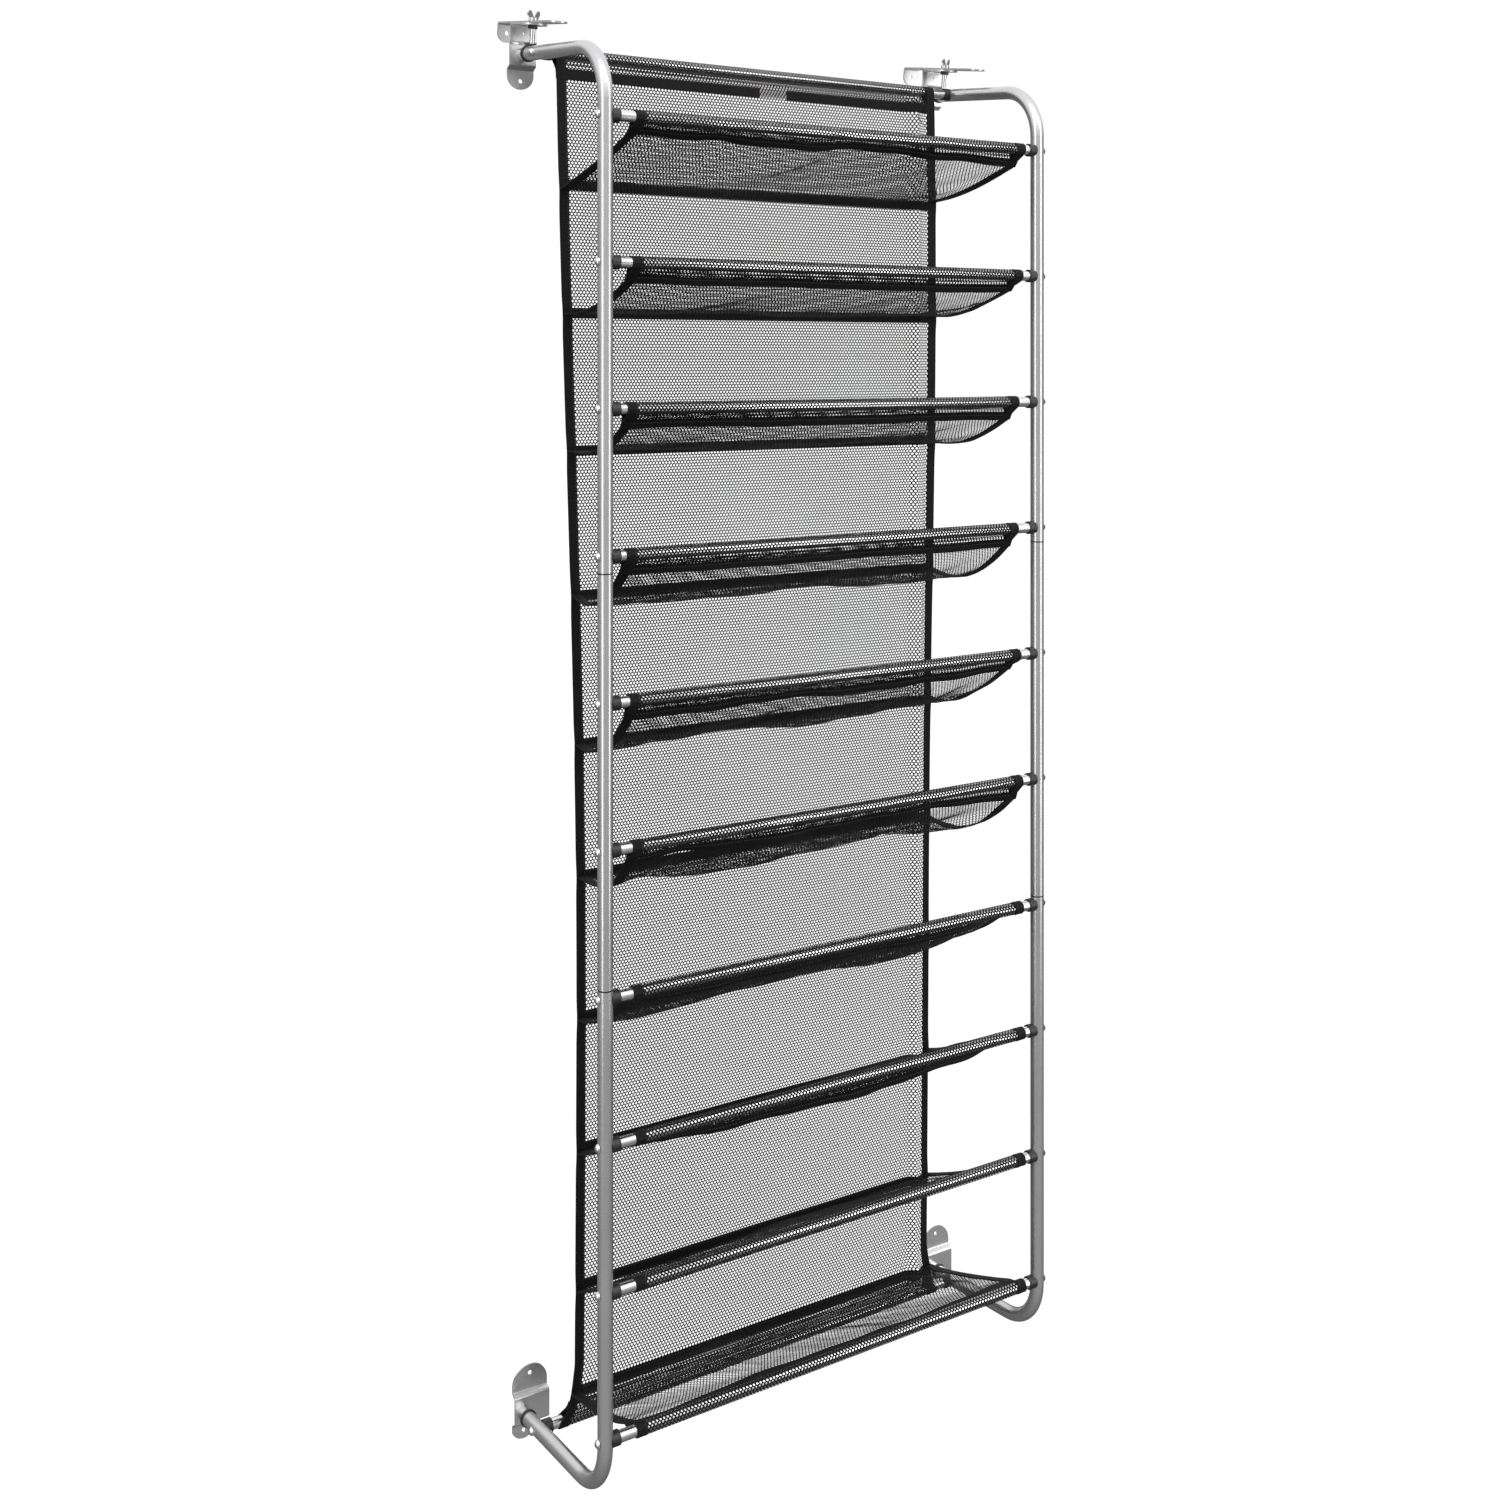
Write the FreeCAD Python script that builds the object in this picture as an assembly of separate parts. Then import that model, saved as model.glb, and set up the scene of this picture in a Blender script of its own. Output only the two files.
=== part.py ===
"""Ten-tier over-the-door shoe organizer: two bent-tube side frames, twelve rails,
mesh hammock shelves sewn to a mesh back panel, wall plates and clamping door hooks.

Millimetres, +Z up. The origin is on the face of the door, midway between the two
side frames, level with the top edge of the door. The shelves stand out along -Y.
"""
import FreeCAD
import Part
import math
import os

V = FreeCAD.Vector

# ---------------------------------------------------------------- overall sizes
TIERS = 10
TIER_PITCH = 150.0
FRAME_SPACING = 576.0          # between the centre lines of the two side frames
UPRIGHT_STANDOFF = 213.0       # door face to the centre line of the uprights
FIRST_RAIL_DROP = 128.0        # door top down to the first front rail
ARM_TOP_RISE = 71.0            # first rail up to the arm's corner point
ARM_BOTTOM_DROP = 58.0         # last rail down to the arm's corner point
ARM_SPLAY = 6.0                # degrees that each arm leans away from square
BEND_RADIUS = 60.0             # centre line of the frame's corner bends

# ---------------------------------------------------------------- tubes and rails
TUBE_R = 8.0
TUBE_WALL = 1.0
SPIGOT_LENGTH = 25.0
SPIGOT_WALL = 1.0
SWAGE_LENGTH = 5.0             # thickened stretch where a spigot meets its tube
JOINT_BELOW_RAIL_4 = 17.0
JOINT_ABOVE_RAIL_7 = 10.0
RAIL_R = 6.0
RAIL_WALL = 0.8
BACK_RAIL_STANDOFF = 50.0      # door face to the centre line of the back rails

# ---------------------------------------------------------------- rail ends
SPACER_R = 7.6
SPACER_LENGTH = 7.0            # from the tube's side to the end of the rail
SADDLE_WRAP = 2.6              # how far the spacer reaches round the tube
SCREW_R = 2.4
SCREW_GRIP = 16.0              # how far the screw reaches into the rail
SCREW_HEAD_R = 4.6
SCREW_HEAD_HEIGHT = 3.6
INSERT_LENGTH = 20.0

# ---------------------------------------------------------------- arm ends
ARM_END_STANDOFF = 25.0        # door face to the open end of the arm
STUB_STEP = 0.6                # the stub's body is this much wider than its spigot, radial
STUB_SPIGOT = 15.0
COLLAR_RIM = 1.3               # how far the collar stands proud of the tube
COLLAR_LENGTH = 3.2

# ---------------------------------------------------------------- wall plates
PLATE_T = 1.8
PLATE_BEND_R = 2.4
PLATE_RAISE = 6.6              # the stub's plate stands this far off the door
UPPER_PLATE_WIDTH = 32.0
UPPER_TAB_DROP = 74.2
UPPER_TAB_FOLD_DROP = 51.5
FRONT_PLATE_STEP = 2.5
FRONT_PLATE_DROP = 22.0
TOOLING_HOLE_R = 1.3
TOOLING_HOLE_DROP = 12.5       # door top down to the hole in the front plate
LOWER_PLATE_WIDTH = 42.0
LOWER_PLATE_SHIFT = 11.5       # the lower plates reach further to +X than to -X
LOWER_MID_HALF = 15.0
LOWER_TOP_TAB = 31.0
LOWER_TAB_WIDTH = 30.0
LOWER_TAB_SHIFT = 4.0
LOWER_TAB_LENGTH = 17.0
FOLD_RUN = 3.0
WALL_HOLE_R = 2.5
TAB_HOLE_INSET = 9.5

# ---------------------------------------------------------------- door hooks
DOOR_THICKNESS = 35.0
HOOK_TILT = 9.0                # degrees that the hook slopes down to the front
HOOK_T = 2.0
HOOK_WIDTH = 23.0
HOOK_REACH = 110.0             # door face to the front tip of the hook
HOOK_EAR = 21.0
HOOK_EAR_HOLE = 10.0
HOOK_TRAVEL = 15.0             # each way from a door of DOOR_THICKNESS
FLANGE_TO_BOLT = 26.0
BOLT_R = 3.0
BOLT_BELOW_FLANGE = 20.0
NUT_ACROSS = 10.0
NUT_HEIGHT = 4.0
WING_TURN = 25.0
WING_SPAN = 11.0
WING_LEAN = 32.0
WING_LENGTH = 11.0
WING_WIDTH = 6.4
WING_T = 2.0
HUB_R = 5.2
HUB_HEIGHT = 4.2

# ---------------------------------------------------------------- fabric
MESH_T = 1.2
TAPE_T = 1.2
TAPE_WIDTH = 12.0
SHELF_SIDE_GAP = 28.0          # frame's centre line to the shelf's side edge
SLEEVE_HEM = 16.0              # flat hem below the sleeve of each shelf
SHELF_DROP = 61.0              # front rail down to the shelf's seam on the panel
LAST_SHELF_DROP = 38.0
SHELF_SAG = 9.0
PANEL_SIDE_GAP = 26.0          # frame's centre line to the panel's side edge
TOP_HEM = 28.0
TAPE_GAP = 38.0
TAPE_GAP_SHIFT = 21.0

# ---------------------------------------------------------------- fits
TUBE_FIT = 0.1                 # spigots and inserts in their tubes, each side
SCREW_FIT = 0.3                # screws in their holes, radial
SEAT_FIT = 0.1                 # pieces that seat against one another
CLOTH_FIT = 0.3                # cloth round its rails and beside its neighbours
SLOT_FIT = 0.4                 # hook slot and flange hole round the bolt
HOOK_FIT = 0.15                # hook on its flange
MERGE = 1.0                    # how far two joined lumps of one solid run together
CREASE = 0.1                   # keeps the panel's face off the outermost line of its sleeves

# ---------------------------------------------------------------- derived places
SIDES = {"left": -1, "right": 1}
SPLAY_TAN = math.tan(math.radians(ARM_SPLAY))
RAIL_Z = [-FIRST_RAIL_DROP - TIER_PITCH * tier for tier in range(TIERS)]
TOP_CORNER_Z = RAIL_Z[0] + ARM_TOP_RISE
BOTTOM_CORNER_Z = RAIL_Z[-1] - ARM_BOTTOM_DROP
UPPER_JOINT_Z = RAIL_Z[3] - JOINT_BELOW_RAIL_4
LOWER_JOINT_Z = RAIL_Z[6] + JOINT_ABOVE_RAIL_7
SPIGOT_R = TUBE_R - TUBE_WALL - TUBE_FIT
STUB_R = SPIGOT_R + STUB_STEP
COLLAR_R = TUBE_R + COLLAR_RIM
SPACER_FACE_X = FRAME_SPACING / 2 - TUBE_R - SPACER_LENGTH
RAIL_HALF = SPACER_FACE_X - SEAT_FIT
SHELF_HALF = FRAME_SPACING / 2 - SHELF_SIDE_GAP
PANEL_HALF = FRAME_SPACING / 2 - PANEL_SIDE_GAP
PANEL_FRONT_Y = -BACK_RAIL_STANDOFF - RAIL_R - CLOTH_FIT - MESH_T + CREASE
MESH_HALF = PANEL_HALF - TAPE_WIDTH
HOOK_SIN = math.sin(math.radians(HOOK_TILT))
HOOK_COS = math.cos(math.radians(HOOK_TILT))


def arm_z(y, upper):
    """Height of the arm's centre line at a distance y from the door."""
    run = y + UPRIGHT_STANDOFF
    if upper:
        return TOP_CORNER_Z + run * SPLAY_TAN
    return BOTTOM_CORNER_Z - run * SPLAY_TAN


def arm_direction(upper):
    """Unit vector along the arm, towards the door."""
    lean = SPLAY_TAN if upper else -SPLAY_TAN
    return V(0, 1, lean).normalize()


def cylinder(radius, length, start, direction):
    return Part.makeCylinder(radius, length, start, direction)


def x_cylinder(radius, x0, x1, y, z):
    """A cylinder along X from x0 to x1."""
    return cylinder(radius, abs(x1 - x0), V(min(x0, x1), y, z), V(1, 0, 0))


def box(x0, x1, y0, y1, z0, z1):
    return Part.makeBox(x1 - x0, y1 - y0, z1 - z0, V(x0, y0, z0))


def rail_places():
    """Every rail's centre line: (y, z, direction of the tube it is screwed to)."""
    places = [(-UPRIGHT_STANDOFF, z, V(0, 0, 1)) for z in RAIL_Z]
    back_y = -BACK_RAIL_STANDOFF
    places.append((back_y, arm_z(back_y, True), arm_direction(True)))
    places.append((back_y, arm_z(back_y, False), arm_direction(False)))
    return places


# ================================================================= side frames
def bent_path(x, upper, straight_z):
    """Centre line of an end section: arm, corner bend, upright."""
    corner = V(x, -UPRIGHT_STANDOFF, TOP_CORNER_Z if upper else BOTTOM_CORNER_Z)
    along = arm_direction(upper)
    down = V(0, 0, -1 if upper else 1)
    half_turn = math.radians(90.0 - ARM_SPLAY) / 2
    tangent = BEND_RADIUS * math.tan(half_turn)
    arm_end = V(x, -ARM_END_STANDOFF, arm_z(-ARM_END_STANDOFF, upper))
    bend_in = corner + along * tangent
    bend_out = corner + down * tangent
    middle = (along + down).normalize()
    centre = corner + middle * (BEND_RADIUS / math.cos(half_turn))
    crown = centre - middle * BEND_RADIUS
    foot = V(x, -UPRIGHT_STANDOFF, straight_z)
    edges = [Part.makeLine(arm_end, bend_in)]
    edges.append(Part.Arc(bend_in, crown, bend_out).toShape())
    edges.append(Part.makeLine(bend_out, foot))
    return Part.Wire(edges)


def swept_round(path, radius):
    start = path.Edges[0].Vertexes[0].Point
    direction = path.Edges[0].tangentAt(path.Edges[0].FirstParameter)
    profile = Part.Wire(Part.makeCircle(radius, start, direction))
    return path.makePipeShell([profile], True, True)


def screw_holes(shape, x, clearance):
    """Cut the rail screws' holes across a tube of the frame at x."""
    holes = []
    for y, z, _ in rail_places():
        holes.append(x_cylinder(SCREW_R + clearance, x - 2 * TUBE_R, x + 2 * TUBE_R, y, z))
    return shape.cut(Part.makeCompound(holes))


def frame_end_section(x, upper):
    joint_z = UPPER_JOINT_Z if upper else LOWER_JOINT_Z
    path = bent_path(x, upper, joint_z)
    tube = swept_round(path, TUBE_R).cut(swept_round(path, TUBE_R - TUBE_WALL))
    return screw_holes(tube, x, SCREW_FIT)


def frame_middle_section(x):
    """Straight tube with a reduced spigot at each end."""
    y = -UPRIGHT_STANDOFF
    up = V(0, 0, 1)
    length = UPPER_JOINT_Z - LOWER_JOINT_Z
    body = cylinder(TUBE_R, length - 2 * SEAT_FIT, V(x, y, LOWER_JOINT_Z + SEAT_FIT), up)
    low_z = LOWER_JOINT_Z - SPIGOT_LENGTH
    whole = length + 2 * SPIGOT_LENGTH
    tube = body.fuse(cylinder(SPIGOT_R, whole, V(x, y, low_z), up))
    tube = tube.cut(cylinder(SPIGOT_R - SPIGOT_WALL, whole, V(x, y, low_z), up))
    wide_length = length - 2 * SWAGE_LENGTH
    wide_z = LOWER_JOINT_Z + SWAGE_LENGTH
    tube = tube.cut(cylinder(TUBE_R - TUBE_WALL, wide_length, V(x, y, wide_z), up))
    return screw_holes(tube, x, SCREW_FIT)


# ================================================================= rails
def rail(y, z):
    tube = x_cylinder(RAIL_R, -RAIL_HALF, RAIL_HALF, y, z)
    return tube.cut(x_cylinder(RAIL_R - RAIL_WALL, -RAIL_HALF, RAIL_HALF, y, z))


def rail_spacer(sign, y, z, direction):
    """Round spacer, hollowed to sit against the frame's tube."""
    outer = sign * (FRAME_SPACING / 2 - TUBE_R + SADDLE_WRAP)
    body = x_cylinder(SPACER_R, sign * SPACER_FACE_X, outer, y, z)
    start = V(sign * FRAME_SPACING / 2, y, z) - direction * 3 * SPACER_R
    saddle = cylinder(TUBE_R + SEAT_FIT, 6 * SPACER_R, start, direction)
    bore = x_cylinder(SCREW_R + SCREW_FIT, sign * SPACER_FACE_X, outer, y, z)
    return body.cut(saddle).cut(bore)


def rail_insert(sign, y, z):
    """Threaded plug pressed into the end of a rail."""
    inner = sign * (RAIL_HALF - INSERT_LENGTH)
    body = x_cylinder(RAIL_R - RAIL_WALL - TUBE_FIT, inner, sign * RAIL_HALF, y, z)
    bore = x_cylinder(SCREW_R + TUBE_FIT, inner, sign * RAIL_HALF, y, z)
    return body.cut(bore)


def rail_screw(sign, y, z):
    """Long screw with a domed head on the outer side of the frame."""
    seat = FRAME_SPACING / 2 + TUBE_R + SEAT_FIT
    tip = RAIL_HALF - SCREW_GRIP
    ball_r = (SCREW_HEAD_R ** 2 + SCREW_HEAD_HEIGHT ** 2) / (2 * SCREW_HEAD_HEIGHT)
    centre = seat + SCREW_HEAD_HEIGHT - ball_r
    half_angle = math.asin(SCREW_HEAD_R / ball_r) / 2
    shoulder = V(ball_r * math.cos(half_angle) + centre, 0, ball_r * math.sin(half_angle))
    crown = V(seat + SCREW_HEAD_HEIGHT, 0, 0)
    corners = [crown, V(tip, 0, 0), V(tip, 0, SCREW_R), V(seat, 0, SCREW_R)]
    corners.append(V(seat, 0, SCREW_HEAD_R))
    outline = [Part.makeLine(a, b) for a, b in zip(corners, corners[1:])]
    outline.append(Part.Arc(corners[-1], shoulder, crown).toShape())
    screw = Part.Face(Part.Wire(outline)).revolve(V(0, 0, 0), V(1, 0, 0), 360)
    if sign < 0:
        screw.rotate(V(0, 0, 0), V(0, 0, 1), 180)
    screw.translate(V(0, y, z))
    return screw


# ================================================================= arm ends
def arm_collar(x, upper):
    start = V(x, -ARM_END_STANDOFF, arm_z(-ARM_END_STANDOFF, upper))
    along = arm_direction(upper)
    start = start + along * SEAT_FIT
    ring = cylinder(COLLAR_R, COLLAR_LENGTH, start, along)
    return ring.cut(cylinder(STUB_R + SEAT_FIT, COLLAR_LENGTH, start, along))


def arm_stub(x, upper):
    """Steel plug between the open end of the arm and its wall plate."""
    end = V(x, -ARM_END_STANDOFF, arm_z(-ARM_END_STANDOFF, upper))
    along = arm_direction(upper)
    plate_y = -PLATE_RAISE - PLATE_T - SEAT_FIT
    body = cylinder(STUB_R, ARM_END_STANDOFF, end + along * SEAT_FIT, along)
    plug = cylinder(SPIGOT_R, STUB_SPIGOT + MERGE, end - along * STUB_SPIGOT, along)
    reach = 2 * ARM_END_STANDOFF
    beyond = box(x - reach, x + reach, plate_y, plate_y + reach, end.z - reach, end.z + reach)
    return body.fuse(plug).cut(beyond)


# ================================================================= folded plates
def offset_side(points, radii, distance):
    """Edges of one side of a folded strip, at a distance from its centre line."""
    edges = []
    last = None
    for index, point in enumerate(points):
        if index == 0 or index == len(points) - 1:
            step = points[1] - points[0] if index == 0 else points[-1] - points[-2]
            normal = V(0, -step.z, step.y).normalize()
            place = point + normal * distance
            if last is not None:
                edges.append(Part.makeLine(last, place))
            last = place
            continue
        before = (points[index - 1] - point).normalize()
        after = (points[index + 1] - point).normalize()
        half = before.getAngle(after) / 2
        middle = (before + after).normalize()
        centre = point + middle * (radii / math.sin(half))
        reach = radii / math.tan(half)
        side = -1.0 if before.cross(after).x > 0 else 1.0
        radius = radii - side * distance
        first = centre + (point + before * reach - centre).normalize() * radius
        crown = centre - middle * radius
        second = centre + (point + after * reach - centre).normalize() * radius
        edges.append(Part.makeLine(last, first))
        edges.append(Part.Arc(first, crown, second).toShape())
        last = second
    return edges


def folded_strip(path, thickness, bend_radius, x0, x1):
    """A strip bent along path, a list of (y, z), and as wide as x0 to x1."""
    points = [V(x0, y, z) for y, z in path]
    one = offset_side(points, bend_radius, thickness / 2)
    other = offset_side(points, bend_radius, -thickness / 2)
    cap_a = Part.makeLine(one[0].Vertexes[0].Point, other[0].Vertexes[0].Point)
    cap_b = Part.makeLine(one[-1].Vertexes[-1].Point, other[-1].Vertexes[-1].Point)
    loop = Part.Wire(Part.__sortEdges__(one + [cap_b] + other + [cap_a]))
    return Part.Face(loop).extrude(V(x1 - x0, 0, 0))


def round_tab_mask(x, z, half_width, length, depth, down):
    """Everything inside a tab's rounded outline, from its centre at z inwards."""
    disc = cylinder(half_width, 2 * depth, V(x, -depth, z), V(0, 1, 0))
    low, high = (z, z + length) if down else (z - length, z)
    return disc.fuse(box(x - half_width, x + half_width, -depth, depth, low, high))


def tilted(shape):
    """Turn a shape made level with the door top to the slope of the hook."""
    turned = shape.copy()
    turned.rotate(V(0, 0, 0), V(1, 0, 0), HOOK_TILT)
    return turned


def tilted_point(y, z):
    return (y * HOOK_COS - z * HOOK_SIN, y * HOOK_SIN + z * HOOK_COS)


FLANGE_MID = -HOOK_FIT - PLATE_T / 2           # below the hook, square to it
FRONT_PLATE_Y = -PLATE_RAISE - PLATE_T / 2 - FRONT_PLATE_STEP
FLANGE_ROOT = (FRONT_PLATE_Y + FLANGE_MID * HOOK_SIN) / HOOK_COS
BOLT_PLACE = FLANGE_ROOT - FLANGE_TO_BOLT      # along the hook's slope


def upper_plate(x):
    """Wall plate with a rounded tab, a raised middle and a flange for the hook."""
    tab_y = -PLATE_T / 2
    mid_y = -PLATE_RAISE - PLATE_T / 2
    half = UPPER_PLATE_WIDTH / 2
    tip = tilted_point(BOLT_PLACE - half, FLANGE_MID)
    root = tilted_point(FLANGE_ROOT, FLANGE_MID)
    path = [(tab_y, -UPPER_TAB_DROP), (tab_y, -UPPER_TAB_FOLD_DROP)]
    path.append((mid_y, -UPPER_TAB_FOLD_DROP + FOLD_RUN))
    path.append((mid_y, -FRONT_PLATE_DROP - FOLD_RUN))
    path.append((FRONT_PLATE_Y, -FRONT_PLATE_DROP))
    path.extend([root, tip])
    plate = folded_strip(path, PLATE_T, PLATE_BEND_R, x - half, x + half)
    reach = 2 * HOOK_REACH
    tab = round_tab_mask(x, -UPPER_TAB_DROP + half, half, reach, reach, True)
    tongue = cylinder(half, reach, V(x, BOLT_PLACE, -reach / 2), V(0, 0, 1))
    tongue = tongue.fuse(box(x - half, x + half, BOLT_PLACE, reach, -reach / 2, reach / 2))
    plate = plate.common(tab).common(tilted(tongue))
    hole_z = -UPPER_TAB_DROP + TAB_HOLE_INSET
    plate = plate.cut(cylinder(WALL_HOLE_R, 2 * PLATE_T, V(x, -2 * PLATE_T, hole_z), V(0, 1, 0)))
    tooling = V(x, FRONT_PLATE_Y - PLATE_T, -TOOLING_HOLE_DROP)
    plate = plate.cut(cylinder(TOOLING_HOLE_R, 2 * PLATE_T, tooling, V(0, 1, 0)))
    bolt = cylinder(BOLT_R + SLOT_FIT, 4 * PLATE_T, V(x, BOLT_PLACE, -3 * PLATE_T), V(0, 0, 1))
    return plate.cut(tilted(bolt))


def lower_places():
    """Heights of the lower plate's folds and ends, from the arm that it holds."""
    middle = arm_z(-ARM_END_STANDOFF, False)
    fold_top = middle + LOWER_MID_HALF + FOLD_RUN
    fold_bottom = middle - LOWER_MID_HALF - FOLD_RUN
    return fold_top + LOWER_TOP_TAB - FOLD_RUN, fold_top, fold_bottom, fold_bottom - LOWER_TAB_LENGTH


def lower_plate(x):
    """Wall plate with a rounded tab above and a narrower one below."""
    top, fold_top, fold_bottom, bottom = lower_places()
    tab_y = -PLATE_T / 2
    mid_y = -PLATE_RAISE - PLATE_T / 2
    half = LOWER_PLATE_WIDTH / 2
    centre = x + LOWER_PLATE_SHIFT
    path = [(tab_y, top), (tab_y, fold_top), (mid_y, fold_top - FOLD_RUN)]
    path.extend([(mid_y, fold_bottom + FOLD_RUN), (tab_y, fold_bottom), (tab_y, bottom)])
    plate = folded_strip(path, PLATE_T, PLATE_BEND_R, centre - half, centre + half)
    depth = 4 * PLATE_RAISE
    upper_mask = round_tab_mask(centre, top - half, half, top - half - fold_bottom, depth, False)
    tab_half = LOWER_TAB_WIDTH / 2
    tab_x = x + LOWER_TAB_SHIFT
    lower_mask = round_tab_mask(tab_x, bottom + tab_half, tab_half, tab_half + FOLD_RUN, depth, True)
    plate = plate.common(upper_mask.fuse(lower_mask))
    for hole_x, hole_z in ((centre, top - TAB_HOLE_INSET), (tab_x, bottom + TAB_HOLE_INSET)):
        start = V(hole_x, -2 * PLATE_T, hole_z)
        plate = plate.cut(cylinder(WALL_HOLE_R, 2 * PLATE_T, start, V(0, 1, 0)))
    return plate


# ================================================================= door hooks
def door_hook(x):
    """Slotted strap with a turned-down ear, lying on the flange of its plate."""
    half = HOOK_WIDTH / 2
    back = DOOR_THICKNESS + HOOK_T / 2
    path = [(-HOOK_REACH, HOOK_T / 2), (back, HOOK_T / 2), (back, -HOOK_EAR)]
    strap = folded_strip(path, HOOK_T, PLATE_BEND_R, x - half, x + half)
    disc = cylinder(half, 4 * HOOK_T, V(x, -HOOK_REACH + half, -2 * HOOK_T), V(0, 0, 1))
    far = 2 * DOOR_THICKNESS
    body = box(x - half, x + half, -HOOK_REACH + half, far, -2 * HOOK_EAR, 2 * HOOK_T)
    strap = strap.common(disc.fuse(body))
    ear = round_tab_mask(x, -HOOK_EAR + half, half, 2 * HOOK_EAR, far, True)
    front = box(x - half, x + half, -2 * HOOK_REACH, back - 2 * HOOK_T, -HOOK_EAR, HOOK_T)
    strap = strap.common(ear.fuse(front))
    slot_r = BOLT_R + SLOT_FIT
    y0, y1 = BOLT_PLACE - HOOK_TRAVEL, BOLT_PLACE + HOOK_TRAVEL
    slot = box(x - slot_r, x + slot_r, y0, y1, -2 * HOOK_T, 2 * HOOK_T)
    for y in (y0, y1):
        slot = slot.fuse(cylinder(slot_r, 4 * HOOK_T, V(x, y, -2 * HOOK_T), V(0, 0, 1)))
    hole = cylinder(WALL_HOLE_R, 4 * HOOK_T, V(x, back - 2 * HOOK_T, -HOOK_EAR_HOLE), V(0, 1, 0))
    return tilted(strap.cut(slot).cut(hole))


def wing_bolt(x):
    """Bolt with a hub and two leaning wings, through the hook and its flange."""
    seat = HOOK_T + HOOK_FIT
    foot = FLANGE_MID - PLATE_T / 2 - BOLT_BELOW_FLANGE
    up = V(0, 0, 1)
    shank = cylinder(BOLT_R, seat + MERGE - foot, V(x, BOLT_PLACE, foot), up)
    bolt = shank.fuse(cylinder(HUB_R, HUB_HEIGHT, V(x, BOLT_PLACE, seat), up))
    for sign in (-1, 1):
        half = WING_WIDTH / 2
        blade = box(-half, half, -WING_T / 2, WING_T / 2, 0, WING_LENGTH - half)
        tip = cylinder(half, WING_T, V(0, -WING_T / 2, WING_LENGTH - half), V(0, 1, 0))
        wing = blade.fuse(tip)
        wing.rotate(V(0, 0, 0), V(0, 1, 0), sign * WING_LEAN)
        root = WING_SPAN - WING_LENGTH * math.sin(math.radians(WING_LEAN))
        wing.translate(V(x + sign * root / 2, BOLT_PLACE, seat + HUB_HEIGHT / 2))
        bolt = bolt.fuse(wing)
    room = 2 * WING_SPAN
    below = box(x - room, x + room, BOLT_PLACE - room, BOLT_PLACE + room, foot, seat)
    below = below.cut(cylinder(BOLT_R, seat - foot, V(x, BOLT_PLACE, foot), up))
    bolt = bolt.cut(below)
    bolt.rotate(V(x, BOLT_PLACE, 0), up, WING_TURN)
    return tilted(bolt)


def hook_nut(x):
    """Hexagon nut fixed under the flange."""
    radius = NUT_ACROSS / 2 / math.cos(math.radians(30))
    top = FLANGE_MID - PLATE_T / 2 - SEAT_FIT
    corners = []
    for step in range(7):
        angle = math.radians(60 * step)
        across, along = radius * math.cos(angle), radius * math.sin(angle)
        corners.append(V(x + across, BOLT_PLACE + along, top))
    blank = Part.Face(Part.makePolygon(corners)).extrude(V(0, 0, -NUT_HEIGHT))
    foot = V(x, BOLT_PLACE, top - NUT_HEIGHT)
    bore = cylinder(BOLT_R + SLOT_FIT, 2 * NUT_HEIGHT, foot, V(0, 0, 1))
    return tilted(blank.cut(bore))


# ================================================================= fabric
def sleeve(y, z, half_width):
    """Cloth tube round a rail."""
    inner = RAIL_R + CLOTH_FIT
    outer = x_cylinder(inner + MESH_T, -half_width, half_width, y, z)
    return outer.cut(x_cylinder(inner, -half_width, half_width, y, z))


def shelf(tier):
    """Sleeve, flat hem and sagging sheet of one hammock shelf."""
    y = -UPRIGHT_STANDOFF
    z = RAIL_Z[tier]
    half = SHELF_HALF
    drop = LAST_SHELF_DROP if tier == TIERS - 1 else SHELF_DROP
    hem_top = z - RAIL_R - CLOTH_FIT - MESH_T / 2
    hem_z = hem_top - SLEEVE_HEM
    hem = box(-half, half, y - MESH_T / 2, y + MESH_T / 2, hem_z, hem_top)
    start = V(-half, y, hem_z)
    end = V(-half, PANEL_FRONT_Y - TAPE_T - CLOTH_FIT, z - drop)
    chord = end - start
    normal = V(0, chord.z, -chord.y).normalize()
    middle = (start + end) * 0.5 + normal * SHELF_SAG
    thick = normal * (MESH_T / 2)
    under = Part.Arc(start + thick, middle + thick, end + thick).toShape()
    over = Part.Arc(start - thick, middle - thick, end - thick).toShape()
    front = Part.makeLine(start + thick, start - thick)
    back = Part.makeLine(end + thick, end - thick)
    loop = Part.Wire(Part.__sortEdges__([under, over, front, back]))
    sheet = Part.Face(loop).extrude(V(2 * half, 0, 0))
    return sleeve(y, z, half).fuse([hem, sheet]).removeSplitter()


def back_panel():
    """Mesh sheet between the sleeves of the two back rails."""
    y = -BACK_RAIL_STANDOFF
    top_z = arm_z(y, True)
    bottom_z = arm_z(y, False)
    back_y = PANEL_FRONT_Y + MESH_T - CREASE
    sheet = box(-MESH_HALF, MESH_HALF, PANEL_FRONT_Y, back_y, bottom_z, top_z)
    return sheet.fuse([sleeve(y, top_z, MESH_HALF), sleeve(y, bottom_z, MESH_HALF)])


def panel_side_tape(sign):
    """Binding along one side of the panel, from sleeve to sleeve."""
    y = -BACK_RAIL_STANDOFF
    clear = RAIL_R + 2 * MESH_T
    x0 = sign * (MESH_HALF + CLOTH_FIT)
    x1 = sign * PANEL_HALF
    z0 = arm_z(y, False) + clear
    z1 = arm_z(y, True) - clear
    return box(min(x0, x1), max(x0, x1), PANEL_FRONT_Y, PANEL_FRONT_Y + TAPE_T, z0, z1)


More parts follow.
